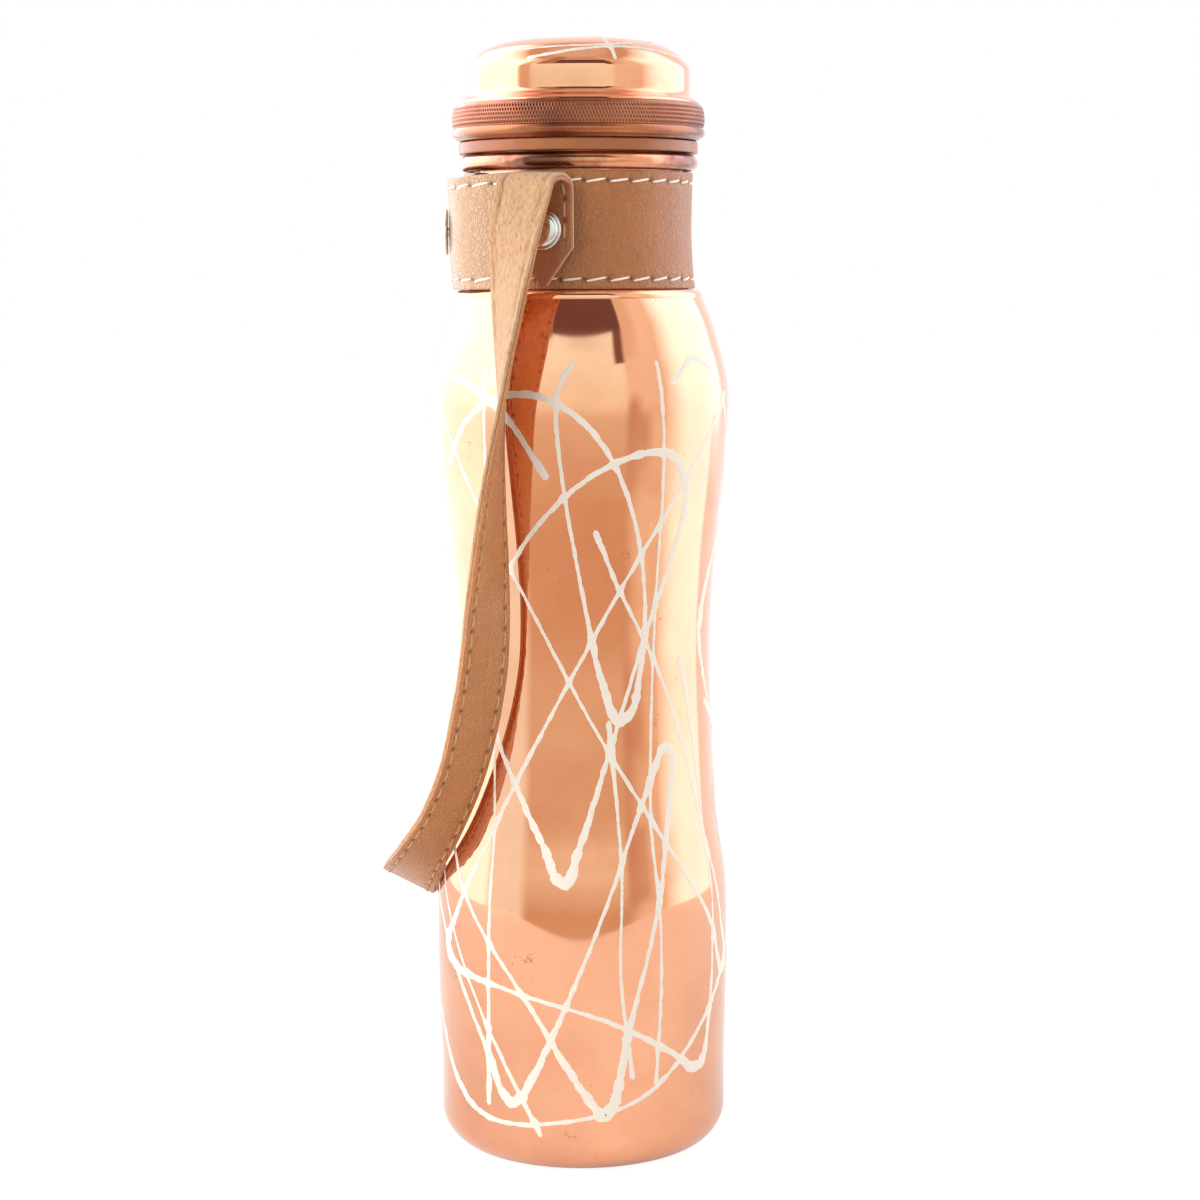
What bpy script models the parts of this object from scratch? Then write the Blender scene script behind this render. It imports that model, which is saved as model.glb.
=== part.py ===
"""A copper water bottle with a screw cap, a leather neck band and a riveted leather carrying loop.

Metres, +Z up. The origin is the centre of the flat underside of the base. The carrying loop
turns about an axis along Y through its two rivets, and at rest it hangs down on the -X side.
"""

import math

import bmesh
import bpy
from mathutils import Matrix, Vector
from mathutils.geometry import interpolate_bezier

mm = 0.001

# Clearance between pieces that touch, and between pieces that turn past each other
seat_gap = 0.3 * mm
running_gap = 0.4 * mm
cut_overrun = 1.0 * mm
merge_distance = 0.01 * mm

# Segments of the turned shapes, and the angle above which an edge stays sharp
round_segments = 32
small_segments = 16
sharp_angle = math.radians(35)

# Body: outer radii and the heights where they lie
copper_wall = 0.9 * mm
base_corner_radius = 10.0 * mm
base_radius = 35.8 * mm
belly_radius = 36.45 * mm
belly_height = 60.0 * mm
waist_radius = 32.3 * mm
waist_height = 118.0 * mm
shoulder_radius = 37.05 * mm
shoulder_height = 187.0 * mm
shoulder_rise = 27.6 * mm
shoulder_steps = 5
side_steps = 5
corner_steps = 4
upper_side_bias = 1.35
lower_side_bias = 0.75
shoulder_ledge = 1.0 * mm

# Base disc, brazed into the opening of the body
base_rim = 1.8 * mm
base_disc_wall = 0.8 * mm
base_disc_lap = 3.0 * mm

# Leather band round the neck, whose ends lap over each other at the closure
band_height = 27.9 * mm
band_top_radius = 28.1 * mm
band_waist_depth = 0.4 * mm
band_foot_flare = 0.5 * mm
band_ply = 0.9 * mm
band_ends_rise = 4.1 * mm
band_foot_rise_share = 0.6
closure_angle = math.radians(195)
band_inner_end_turn = math.radians(27)
band_outer_end_turn = math.radians(27)
band_ramp_start = math.radians(322)
band_ramp_end = math.radians(364)
band_steps = 56
band_rows = 3
band_seam_inset = 2.4 * mm
band_seam_start_turn = math.radians(58)
band_seam_end_turn = math.radians(2)
thread_radius = 0.3 * mm

# Copper neck under the band
neck_cylinder_height = 5.4 * mm
neck_waist_depth = 2.0 * mm

# Threaded collar brazed into the neck, its bead and its gasket
bead_overhang = 1.3 * mm
bead_height = 4.1 * mm
bead_steps = 6
collar_wall = 2.0 * mm
collar_spigot_length = 5.5 * mm
gasket_height = 2.8 * mm
gasket_edge = 0.4 * mm
threaded_neck_height = 19.4 * mm

# Screw thread of the collar and of the cap
thread_lead = 4.0 * mm
thread_turns = 2
thread_depth = 1.0 * mm
thread_foot_width = 1.8 * mm
thread_crest_width = 1.0 * mm
thread_start = 6.2 * mm
thread_segments = 24

# Cap: a domed lid over a knurled ring with a rolled hem
cap_height = 24.8 * mm
cap_ring_overhang = 1.6 * mm
cap_ring_step = 3.5 * mm
cap_corner_run = 3.2 * mm
cap_crown_rise = 4.6 * mm
cap_crown_steps = 4
cap_corner_drop = 3.7 * mm
cap_corner_steps = 3
cap_ring_height = 10.4 * mm
cap_ring_corner = 2.4 * mm
cap_ring_corner_steps = 4
cap_hem_height = 2.6 * mm
cap_hem_inset = 1.2 * mm
sleeve_wall = 0.9 * mm
sleeve_flange_height = 1.1 * mm
seal_disc_thickness = 1.8 * mm

# Carrying loop: two plies of leather sewn together, with a tab at each end
strap_width = 14.2 * mm
strap_ply = 1.0 * mm
strap_seam_inset = 1.4 * mm
strap_tip_length = 9.2 * mm
strap_tip_width = 1.0 * mm
strap_tip_drop = 13.8 * mm
strap_roll_radius = 2.95 * mm
strap_roll_height = 9.4 * mm
strap_roll_shift = 3.0 * mm
strap_roll_steps = 8
strap_standoff = 7.0 * mm
strap_slack = 1.4 * mm
strap_step = 3.5 * mm
loop_drop = 163.6 * mm
loop_tip_angle = math.radians(28)

# Half of the loop, from its roll to the middle of its bend. Each row has the shares of the
# reach, the spread and the drop, and of the half turn and the tip that the strap has made there
leg_route_shares = (
    (0.100, 0.890, 0.000, 0.110, 0.00),
    (0.125, 0.930, 0.085, 0.230, 0.00),
    (0.142, 0.965, 0.170, 0.330, 0.00),
    (0.157, 0.990, 0.250, 0.410, 0.00),
    (0.185, 1.000, 0.320, 0.465, 0.00),
    (0.209, 1.000, 0.395, 0.527, 0.00),
    (0.230, 0.982, 0.470, 0.589, 0.01),
    (0.253, 0.961, 0.550, 0.652, 0.05),
    (0.285, 0.935, 0.630, 0.686, 0.13),
    (0.348, 0.897, 0.710, 0.694, 0.26),
    (0.439, 0.840, 0.790, 0.674, 0.42),
    (0.588, 0.740, 0.870, 0.673, 0.64),
    (0.782, 0.553, 0.940, 0.734, 0.84),
    (0.934, 0.280, 0.985, 0.872, 0.95),
    (1.000, 0.000, 1.000, 1.000, 1.00),
)

# Rivets that the loop turns on
rivet_cap_radius = 4.8 * mm
rivet_cap_rise = 2.1 * mm
rivet_cap_steps = 4
rivet_rim = 0.5 * mm
rivet_pin_radius = 1.5 * mm
rivet_plate_radius = 3.0 * mm
rivet_plate_thickness = 0.4 * mm
spacer_radius = 4.0 * mm
spacer_thickness = 1.5 * mm

# Snap that closes the band
snap_cap_radius = 5.7 * mm
snap_cap_rise = 1.0 * mm
snap_cap_steps = 3
snap_ring_radius = 3.5 * mm
snap_knob_radius = 1.9 * mm
snap_knob_rise = 0.7 * mm
snap_flange = 0.4 * mm
snap_pin_radius = 1.2 * mm

# Sizes that follow from those above
band_bottom = shoulder_height + shoulder_rise
band_top = band_bottom + band_height
pivot_height = band_bottom + band_height / 2
band_thickness = 2 * band_ply + seat_gap
band_waist_radius = band_top_radius - band_waist_depth
band_foot_radius = band_top_radius + band_foot_flare
neck_top_radius = band_top_radius - band_thickness - seat_gap
neck_foot_radius = band_foot_radius + shoulder_ledge
base_opening_radius = base_radius - base_corner_radius - base_rim
bead_bottom = band_top + seat_gap
bead_top = bead_bottom + bead_height
rim_height = bead_top + threaded_neck_height
collar_root_radius = neck_top_radius - copper_wall - seat_gap
gasket_bottom = bead_top + seat_gap
cap_bottom = gasket_bottom + gasket_height + seat_gap
bead_radius = band_top_radius + bead_overhang
cap_ring_radius = bead_radius + cap_ring_overhang
cap_lid_radius = cap_ring_radius - cap_ring_step
cap_crown_radius = cap_lid_radius - cap_corner_run
sleeve_outer_radius = cap_lid_radius - copper_wall - seat_gap
sleeve_bore_radius = sleeve_outer_radius - sleeve_wall
sleeve_top = rim_height - cap_bottom
male_root_radius = sleeve_bore_radius - running_gap - thread_depth
collar_bore_radius = male_root_radius - collar_wall
strap_thickness = 2 * strap_ply + seat_gap
rivet_hole_radius = rivet_pin_radius + running_gap
tab_inner = max(bead_radius, band_waist_radius + spacer_thickness) + running_gap
tab_outer = tab_inner + strap_thickness
tab_middle = (tab_inner + tab_outer) / 2
roll_outer = tab_middle + 2 * strap_roll_radius
widest_radius = max(belly_radius, shoulder_radius)
leg_spread = max(widest_radius, roll_outer) + strap_standoff
loop_reach = widest_radius + strap_slack + strap_width / 2 * math.cos(loop_tip_angle)


def clear_scene():
    for old in list(bpy.data.objects):
        bpy.data.objects.remove(old)


def new_collection(name, helpers=False):
    made = bpy.data.collections.new(name)
    made.hide_render = helpers
    bpy.context.scene.collection.children.link(made)
    return made


def new_material(name, colour, roughness, metallic=0.0):
    made = bpy.data.materials.new(name)
    made.use_nodes = True
    shader = made.node_tree.nodes["Principled BSDF"]
    shader.inputs["Base Color"].default_value = (*colour, 1)
    shader.inputs["Roughness"].default_value = roughness
    shader.inputs["Metallic"].default_value = metallic
    made.diffuse_color = (*colour, 1)
    return made


def new_empty(name, height):
    made = bpy.data.objects.new(name, None)
    made.location.z = height
    parts.objects.link(made)
    return made


def new_object(name, shape, material, parent=None):
    """An object in the bottle's collection, or a cutter where it has no material."""
    made = bpy.data.objects.new(name, shape)
    made.parent = parent
    if material:
        shape.materials.append(material)
        parts.objects.link(made)
    else:
        cutters.objects.link(made)
        made.hide_render = True
        made.display_type = "WIRE"
    return made


def mesh_of(name, bm, smooth=True):
    mesh = bpy.data.meshes.new(name)
    bm.to_mesh(mesh)
    bm.free()
    if smooth:
        mesh.shade_smooth()
        mesh.set_sharp_from_angle(angle=sharp_angle)
    return mesh


def add_wall(piece, thickness, offset=-1):
    """Gives an open surface its thickness, behind its faces or, with an offset of 1, before them."""
    shell = piece.modifiers.new("Wall", "SOLIDIFY")
    shell.thickness = thickness
    shell.offset = offset
    shell.use_even_offset = True


def boolean(target, other, operation="DIFFERENCE"):
    step = target.modifiers.new(operation.title(), "BOOLEAN")
    step.operation = operation
    step.object = other


def turned(name, outline, material, parent=None, segments=round_segments, closed=True):
    """A profile of (radius, height) points, down its outer side, turned about Z."""
    bm = bmesh.new()
    points = [bm.verts.new((radius, 0, height)) for radius, height in outline]
    following = points[1:] + points[:1] if closed else points[1:]
    for start, end in zip(points, following):
        bm.edges.new((start, end))
    made = new_object(name, mesh_of(name, bm, smooth=False), material, parent)
    screw = made.modifiers.new("Turn", "SCREW")
    screw.steps = screw.render_steps = segments
    screw.use_merge_vertices = True
    screw.merge_threshold = merge_distance
    screw.use_smooth_shade = True
    return made


def arc(centre, radius, start, end, steps):
    """Points of an arc about centre, from one angle to another."""
    turns = [start + (end - start) * i / steps for i in range(steps + 1)]
    return [(centre[0] + radius * math.cos(t), centre[1] + radius * math.sin(t)) for t in turns]


def eased(start, end, steps, bias=1.0):
    """Points from start to end whose radius follows a half cosine, left flat at both ends."""
    made = [start]
    for i in range(1, steps + 1):
        share = i / steps
        rise = (1 - math.cos(math.pi * share**bias)) / 2
        made.append((start[0] + (end[0] - start[0]) * rise, start[1] + (end[1] - start[1]) * share))
    return made


def neck_outline():
    """The outer side of the neck under the band, from its top down to the ledge at its foot."""
    top = (neck_top_radius, band_top)
    straight_end = (neck_top_radius, band_top - neck_cylinder_height)
    waist = (neck_top_radius - neck_waist_depth, pivot_height)
    foot = (band_foot_radius - band_thickness - seat_gap, band_bottom)
    ledge = (foot[0] + (neck_foot_radius - foot[0]) / 4, band_bottom - seat_gap)
    return [top, *eased(straight_end, waist, 2), *eased(waist, foot, 3)[1:], ledge]


def shoulder_outline():
    """The rounded shoulder, from the ledge under the band to the widest place."""
    swell = shoulder_radius - neck_foot_radius
    made = [(neck_foot_radius, band_bottom - copper_wall)]
    for i in range(1, shoulder_steps):
        share = 1 - i / shoulder_steps
        radius = neck_foot_radius + swell * math.cos(math.pi / 2 * share)
        made.append((radius, shoulder_height + shoulder_rise * share))
    return made


def side_outline():
    """The waisted side and the round corner of the base, from the shoulder to the base opening."""
    shoulder = (shoulder_radius, shoulder_height)
    waist = (waist_radius, waist_height)
    belly = (belly_radius, belly_height)
    corner_top = (base_radius, 2 * base_corner_radius)
    corner = (base_radius - base_corner_radius, base_corner_radius)
    upper_side = eased(waist, shoulder, side_steps, upper_side_bias)[::-1]
    lower_side = eased(belly, waist, side_steps, lower_side_bias)[::-1]
    foot = eased(belly, corner_top, 2)
    round_corner = arc(corner, base_corner_radius, 0, -math.pi / 2, corner_steps)
    return [*upper_side, *lower_side[1:], *foot[1:], *round_corner, (base_opening_radius, 0)]


def make_body():
    outline = neck_outline() + shoulder_outline() + side_outline()
    shell = turned("bottle_shell", outline, copper, closed=False)
    add_wall(shell, copper_wall)
    disc_radius = base_opening_radius - seat_gap
    lap_radius = base_opening_radius + base_disc_lap
    lap_bottom = copper_wall + seat_gap
    lap_top = lap_bottom + base_disc_wall
    disc_outline = [
        (0, lap_top),
        (lap_radius, lap_top),
        (lap_radius, lap_bottom),
        (disc_radius, lap_bottom),
        (disc_radius, 0),
        (0, 0),
    ]
    turned("base_disc", disc_outline, copper, closed=False)


def thread_ridge(name, foot_radius, crest_radius, start_height):
    """A right-hand helical ridge, wider at its foot than at its crest."""
    bm = bmesh.new()
    corners = [
        (foot_radius, -thread_foot_width / 2),
        (foot_radius, thread_foot_width / 2),
        (crest_radius, thread_crest_width / 2),
        (crest_radius, -thread_crest_width / 2),
    ]
    section = bm.faces.new([bm.verts.new((radius, 0, start_height + up)) for radius, up in corners])
    bmesh.ops.spin(
        bm,
        geom=[section, *section.verts, *section.edges],
        cent=(0, 0, 0),
        axis=(0, 0, 1),
        dvec=(0, 0, thread_lead / thread_segments),
        angle=2 * math.pi * thread_turns,
        steps=thread_turns * thread_segments,
    )
    bmesh.ops.recalc_face_normals(bm, faces=bm.faces)
    return new_object(name, mesh_of(name, bm), None)


def make_collar():
    spigot_bottom = bead_bottom - collar_spigot_length
    bead_corner = bead_height / 2
    bead_centre = (bead_radius - bead_corner, bead_bottom + bead_corner)
    outline = [
        (collar_bore_radius, rim_height),
        (male_root_radius, rim_height),
        (male_root_radius, bead_top),
        *arc(bead_centre, bead_corner, math.pi / 2, -math.pi / 2, bead_steps),
        (collar_root_radius, bead_bottom),
        (collar_root_radius, spigot_bottom),
        (collar_bore_radius, spigot_bottom),
    ]
    collar = turned("neck_collar", outline, copper)
    ridge_foot = male_root_radius - seat_gap
    ridge_crest = male_root_radius + thread_depth
    ridge = thread_ridge("collar_ridge", ridge_foot, ridge_crest, bead_top + thread_start)
    boolean(collar, ridge, "UNION")


def make_gasket():
    inner = male_root_radius + seat_gap
    top = gasket_bottom + gasket_height
    outline = [
        (inner, top),
        (bead_radius - gasket_edge, top),
        (bead_radius, top - gasket_edge),
        (bead_radius, gasket_bottom + gasket_edge),
        (bead_radius - gasket_edge, gasket_bottom),
        (inner, gasket_bottom),
    ]
    turned("neck_gasket", outline, gasket_rubber)


def cap_outline():
    """The cap's outer side above its rim, from the middle of the crown down to the hem's lip."""
    crown = (cap_crown_radius**2 + cap_crown_rise**2) / (2 * cap_crown_rise)
    widest = math.asin(cap_crown_radius / crown)
    crown_centre = (0, cap_height - crown)
    outline = arc(crown_centre, crown, math.pi / 2, math.pi / 2 - widest, cap_crown_steps)
    corner = cap_lid_radius - cap_crown_radius
    for i in range(1, cap_corner_steps + 1):
        angle = math.pi / 2 * i / cap_corner_steps
        drop = cap_crown_rise + cap_corner_drop * (1 - math.cos(angle))
        outline.append((cap_crown_radius + corner * math.sin(angle), cap_height - drop))
    outline.append((cap_lid_radius, cap_ring_height + cap_ring_corner / 3))
    ring_corner = (cap_ring_radius - cap_ring_corner, cap_ring_height - cap_ring_corner)
    outline += arc(ring_corner, cap_ring_corner, math.pi / 2, 0, cap_ring_corner_steps)
    outline.append((cap_ring_radius, cap_hem_height))
    outline.append((cap_ring_radius - cap_hem_inset / 3, cap_hem_height / 3))
    outline.append((cap_ring_radius - cap_hem_inset, 0))
    return outline


def make_cap():
    shell = turned("cap_shell", cap_outline(), copper, cap_axis, closed=False)
    add_wall(shell, copper_wall)
    flange_radius = cap_ring_radius - cap_hem_inset - copper_wall - seat_gap
    outline = [
        (sleeve_bore_radius, sleeve_top),
        (sleeve_outer_radius, sleeve_top),
        (sleeve_outer_radius, sleeve_flange_height),
        (flange_radius, sleeve_flange_height),
        (flange_radius, 0),
        (sleeve_bore_radius, 0),
    ]
    sleeve = turned("cap_thread_sleeve", outline, brass, cap_axis)
    ridge_foot = sleeve_bore_radius + seat_gap
    ridge_crest = sleeve_bore_radius - thread_depth
    ridge_start = bead_top + thread_start + thread_lead / 2 - cap_bottom
    ridge = thread_ridge("sleeve_ridge", ridge_foot, ridge_crest, ridge_start)
    ridge.parent = cap_axis
    boolean(sleeve, ridge, "UNION")


def make_seal_disc():
    bottom = sleeve_top + seat_gap
    top = bottom + seal_disc_thickness
    radius = sleeve_bore_radius - seat_gap
    outline = [(0, top), (radius, top), (radius, bottom), (0, bottom)]
    turned("cap_seal_disc", outline, silicone, cap_axis, closed=False)


def band_point(travel, height_share, out=0.0):
    """A point of the band's outer face: travel is the angle from its inner end, going clockwise."""
    from_middle = 2 * height_share - 1
    edge_radius = band_top_radius if from_middle > 0 else band_foot_radius
    radius = band_waist_radius + (edge_radius - band_waist_radius) * from_middle**2
    ramp = min(max((travel - band_ramp_start) / (band_ramp_end - band_ramp_start), 0), 1)
    low_share = max(-from_middle, 0)
    rise_share = 1 - (1 - band_foot_rise_share) * low_share**2
    rise = band_ends_rise * rise_share * ramp**2 * (3 - 2 * ramp)
    angle = closure_angle + band_inner_end_turn - travel
    height = band_bottom + band_height * height_share
    reach = radius + rise + out
    return Vector((reach * math.cos(angle), reach * math.sin(angle), height))


def make_band(rivet_cutter, snap_cutter):
    travel_all = 2 * math.pi + band_inner_end_turn + band_outer_end_turn
    plies = (("band_outer", 0.0, leather), ("band_lining", -band_ply - seat_gap, flesh_leather))
    for name, out, colour in plies:
        bm = bmesh.new()
        bmesh.ops.create_grid(bm, x_segments=band_steps, y_segments=band_rows, size=0.5)
        for vertex in bm.verts:
            travel_share, height_share = vertex.co.x + 0.5, vertex.co.y + 0.5
            vertex.co = band_point(travel_share * travel_all, height_share, out)
        bmesh.ops.reverse_faces(bm, faces=bm.faces)
        piece = new_object(name, mesh_of(name, bm), colour)
        add_wall(piece, band_ply)
        boolean(piece, rivet_cutter)
        boolean(piece, snap_cutter)
    last = travel_all - band_seam_end_turn
    seam_travel = (last - band_seam_start_turn) / band_steps
    inset_share = band_seam_inset / band_height
    out = seat_gap + thread_radius
    for name, share in (("band_thread_upper", 1 - inset_share), ("band_thread_lower", inset_share)):
        travels = [band_seam_start_turn + seam_travel * i for i in range(band_steps + 1)]
        make_thread(name, [band_point(travel, share, out) for travel in travels], white_thread)


def make_thread(name, points, material, parent=None):
    """A sewing thread along points."""
    curve = bpy.data.curves.new(name, "CURVE")
    curve.dimensions = "3D"
    curve.bevel_depth = thread_radius
    curve.bevel_resolution = 0
    curve.use_fill_caps = True
    spline = curve.splines.new("POLY")
    spline.points.add(len(points) - 1)
    for target, point in zip(spline.points, points):
        target.co = (*point, 1)
    new_object(name, curve, material, parent)


def leg_rows():
    """Rows of (place from the pivot, turn, tip) for the front half of the loop, tab tip first."""
    tip_height = -strap_tip_drop
    rows = [
        (Vector((0, -tab_middle, height)), 0.0, 0.0)
        for height in (tip_height, tip_height + strap_tip_length, strap_roll_height / 2)
    ]
    roll_turn = math.pi * leg_route_shares[0][3]
    for i in range(strap_roll_steps + 1):
        share = i / strap_roll_steps
        angle = math.pi * share
        gone = (1 - math.cos(angle)) / 2
        place = Vector((
            -strap_roll_shift * gone,
            -tab_middle - 2 * strap_roll_radius * gone,
            strap_roll_height + strap_roll_radius * math.sin(angle),
        ))
        rows.append((place, roll_turn * share / 2, 0.0))
    for reach, spread, drop, turn, tip in leg_route_shares:
        place = Vector((-loop_reach * reach, -leg_spread * spread, -loop_drop * drop))
        rows.append((place, math.pi * turn, loop_tip_angle * tip))
    return rows


def smooth_rows(rows):
    """The rows with more between them, on a smooth curve through their places."""
    places = [row[0] for row in rows]
    across_the_middle = Vector((places[-2].x, -places[-2].y, places[-2].z))
    around = [2 * places[0] - places[1], *places, across_the_middle]
    made = []
    for i in range(len(rows) - 1):
        before, start, end, after = around[i : i + 4]
        reach = (end - start).length / 3
        lead_out = start + (end - before).normalized() * reach
        lead_in = end - (after - start).normalized() * reach
        steps = max(round((end - start).length / strap_step), 1)
        between = interpolate_bezier(start, lead_out, lead_in, end, steps + 1)
        for k in range(steps):
            turn = rows[i][1] + (rows[i + 1][1] - rows[i][1]) * k / steps
            tip = rows[i][2] + (rows[i + 1][2] - rows[i][2]) * k / steps
            made.append((between[k], turn, tip))
    made.append(rows[-1])
    return made


def strap_sections():
    """(centre, across, outward, width) of each section of the strap, from front tip to rear tip."""
    rows = smooth_rows(leg_rows())
    front = []
    for i, (place, turn, tip) in enumerate(rows):
        behind = rows[max(i - 1, 0)][0]
        across_the_middle = Vector((behind.x, -behind.y, behind.z))
        ahead = rows[i + 1][0] if i + 1 < len(rows) else across_the_middle
        across = Vector((math.cos(turn) * math.cos(tip), -math.sin(turn) * math.cos(tip), math.sin(tip)))
        outward = across.cross(ahead - behind).normalized()
        point_share = min((place - rows[0][0]).length / strap_tip_length, 1)
        width = strap_tip_width + (strap_width - strap_tip_width) * point_share
        front.append((place, across, outward, width))
    mirror = Matrix.Diagonal((1, -1, 1))
    rear = [(mirror @ place, mirror @ across, mirror @ outward, width) for place, across, outward, width in front]
    return front + rear[-2::-1]


def make_loop(rivet_cutter):
    sections = strap_sections()
    last = len(sections) - 1
    for name, offset, colour in (("strap_outer", 1, leather), ("strap_lining", -1, flesh_leather)):
        bm = bmesh.new()
        bmesh.ops.create_grid(bm, x_segments=last, y_segments=1, size=0.5)
        bmesh.ops.triangulate(bm, faces=bm.faces, quad_method="FIXED")
        for vertex in bm.verts:
            centre, across, outward, width = sections[round((vertex.co.x + 0.5) * last)]
            vertex.co = centre + across * width * vertex.co.y + outward * offset * seat_gap / 2
        bmesh.ops.reverse_faces(bm, faces=bm.faces)
        ply = new_object(name, mesh_of(name, bm), colour, loop_pivot)
        add_wall(ply, strap_ply, offset)
        boolean(ply, rivet_cutter)
    seam = strap_width / 2 - strap_seam_inset
    lift = strap_thickness / 2 + seat_gap + thread_radius
    full = [section for section in sections if section[3] > strap_width - merge_distance]
    for name, side in (("strap_thread_left", -seam), ("strap_thread_right", seam)):
        points = [centre + across * side + outward * lift for centre, across, outward, width in full]
        make_thread(name, points[1:-1], tan_thread, loop_pivot)


def dome(radius, base, rise, steps):
    """Points over a shallow dome, from its middle to its rim at base height."""
    turns = [math.pi / 2 * i / steps for i in range(steps + 1)]
    return [(radius * math.sin(turn), base + rise * math.cos(turn)) for turn in turns]


def make_rivet(side, facing):
    """A domed cap, its pin with a plate inside the band, and the spacer that the tab turns on."""
    stand = Matrix.Translation((0, 0, pivot_height)) @ Matrix.Rotation(facing, 4, "X")
    cap_under = tab_outer + seat_gap
    cap_profile = [
        *dome(rivet_cap_radius, cap_under + rivet_rim, rivet_cap_rise - rivet_rim, rivet_cap_steps),
        (rivet_cap_radius, cap_under),
        (0, cap_under),
    ]
    plate_top = seat_inside(band_waist_radius - band_thickness, rivet_plate_radius)
    plate_bottom = plate_top - rivet_plate_thickness
    post_profile = [
        (0, tab_outer),
        (rivet_pin_radius, tab_outer),
        (rivet_pin_radius, plate_top),
        (rivet_plate_radius, plate_top),
        (rivet_plate_radius, plate_bottom),
        (0, plate_bottom),
    ]
    spacer_bottom = band_waist_radius + seat_gap
    spacer_top = tab_inner - seat_gap
    spacer_profile = [
        (rivet_hole_radius, spacer_top),
        (spacer_radius, spacer_top),
        (spacer_radius, spacer_bottom),
        (rivet_hole_radius, spacer_bottom),
    ]
    pieces = (("cap", cap_profile, False), ("post", post_profile, False), ("spacer", spacer_profile, True))
    for kind, profile, closed in pieces:
        piece = turned(f"rivet_{kind}_{side}", profile, nickel, segments=small_segments, closed=closed)
        piece.matrix_world = stand


def seat_inside(round_radius, flat_radius):
    """How far out a flat disc can lie inside a round wall, with the seat gap at its edge."""
    return math.sqrt(round_radius**2 - flat_radius**2) - seat_gap


def make_snap(stand):
    """The press stud through the lapped ends of the band, along the closure's own radius."""
    outer_face = band_waist_radius + band_ends_rise
    flange_bottom = band_waist_radius + seat_gap
    flange_top = flange_bottom + snap_flange
    knob_top = flange_top + snap_knob_rise
    cap_under = outer_face + seat_gap
    pin_end = knob_top + seat_gap
    cap_profile = [
        *dome(snap_cap_radius, cap_under + snap_cap_rise / 4, snap_cap_rise * 3 / 4, snap_cap_steps),
        (snap_cap_radius, cap_under),
        (snap_pin_radius, cap_under),
        (snap_pin_radius, pin_end),
        (0, pin_end),
    ]
    socket_bore = snap_knob_radius + seat_gap
    socket_top = seat_inside(outer_face - band_thickness, snap_ring_radius)
    socket_bottom = flange_top + seat_gap
    socket_profile = [
        (socket_bore, socket_top),
        (snap_ring_radius, socket_top),
        (snap_ring_radius, socket_bottom),
        (socket_bore, socket_bottom),
    ]
    stud_profile = [
        (0, knob_top),
        (snap_knob_radius, knob_top),
        (snap_knob_radius, flange_top),
        (snap_ring_radius, flange_top),
        (snap_ring_radius, flange_bottom),
        (0, flange_bottom),
    ]
    plate_top = seat_inside(band_waist_radius - band_thickness, snap_ring_radius)
    plate_bottom = plate_top - rivet_plate_thickness
    post_profile = [
        (0, band_waist_radius),
        (snap_pin_radius, band_waist_radius),
        (snap_pin_radius, plate_top),
        (snap_ring_radius, plate_top),
        (snap_ring_radius, plate_bottom),
        (0, plate_bottom),
    ]
    pieces = (
        ("snap_cap", cap_profile, False),
        ("snap_socket", socket_profile, True),
        ("snap_stud", stud_profile, False),
        ("snap_post", post_profile, False),
    )
    for name, profile, closed in pieces:
        piece = turned(name, profile, nickel, segments=small_segments, closed=closed)
        piece.matrix_world = stand


def new_cutter(name, radius, depth, stand):
    bm = bmesh.new()
    bmesh.ops.create_cone(
        bm, cap_ends=True, segments=small_segments, radius1=radius, radius2=radius, depth=depth, matrix=stand
    )
    return new_object(name, mesh_of(name, bm), None)


clear_scene()
parts = new_collection("copper_bottle")
cutters = new_collection("cutters", helpers=True)

copper = new_material("Lacquered copper", (0.95, 0.46, 0.27), 0.12, 1.0)
brass = new_material("Brass", (0.78, 0.55, 0.25), 0.3, 1.0)
nickel = new_material("Nickel plate", (0.72, 0.70, 0.66), 0.15, 1.0)
leather = new_material("Vegetable tanned leather", (0.55, 0.29, 0.16), 0.5)
flesh_leather = new_material("Leather flesh side", (0.68, 0.42, 0.24), 0.7)
white_thread = new_material("White waxed thread", (0.85, 0.82, 0.76), 0.6)
tan_thread = new_material("Tan waxed thread", (0.62, 0.38, 0.20), 0.6)
gasket_rubber = new_material("Tan rubber", (0.58, 0.27, 0.12), 0.5)
silicone = new_material("White silicone", (0.80, 0.79, 0.76), 0.5)

cap_axis = new_empty("cap_axis", cap_bottom)
loop_pivot = new_empty("loop_pivot", pivot_height)

pivot_stand = Matrix.Translation((0, 0, pivot_height)) @ Matrix.Rotation(math.pi / 2, 4, "X")
rivet_holes = new_cutter("rivet_holes", rivet_hole_radius, 2 * (tab_outer + cut_overrun), pivot_stand)

closure_stand = (
    Matrix.Translation((0, 0, pivot_height))
    @ Matrix.Rotation(closure_angle, 4, "Z")
    @ Matrix.Rotation(math.pi / 2, 4, "Y")
)
snap_depth = band_waist_radius + band_ends_rise + cut_overrun
half_way = Matrix.Translation((0, 0, snap_depth / 2))
snap_hole = new_cutter("snap_hole", snap_pin_radius + seat_gap, snap_depth, closure_stand @ half_way)

make_body()
make_collar()
make_gasket()
make_cap()
make_seal_disc()
make_band(rivet_holes, snap_hole)
make_snap(closure_stand)
make_rivet("front", math.pi / 2)
make_rivet("rear", -math.pi / 2)
make_loop(rivet_holes)
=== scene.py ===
import math

import bmesh
import bpy
import numpy as np
from mathutils import Matrix, Quaternion, Vector, noise
from mathutils.geometry import interpolate_bezier
from mathutils.kdtree import KDTree


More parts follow.
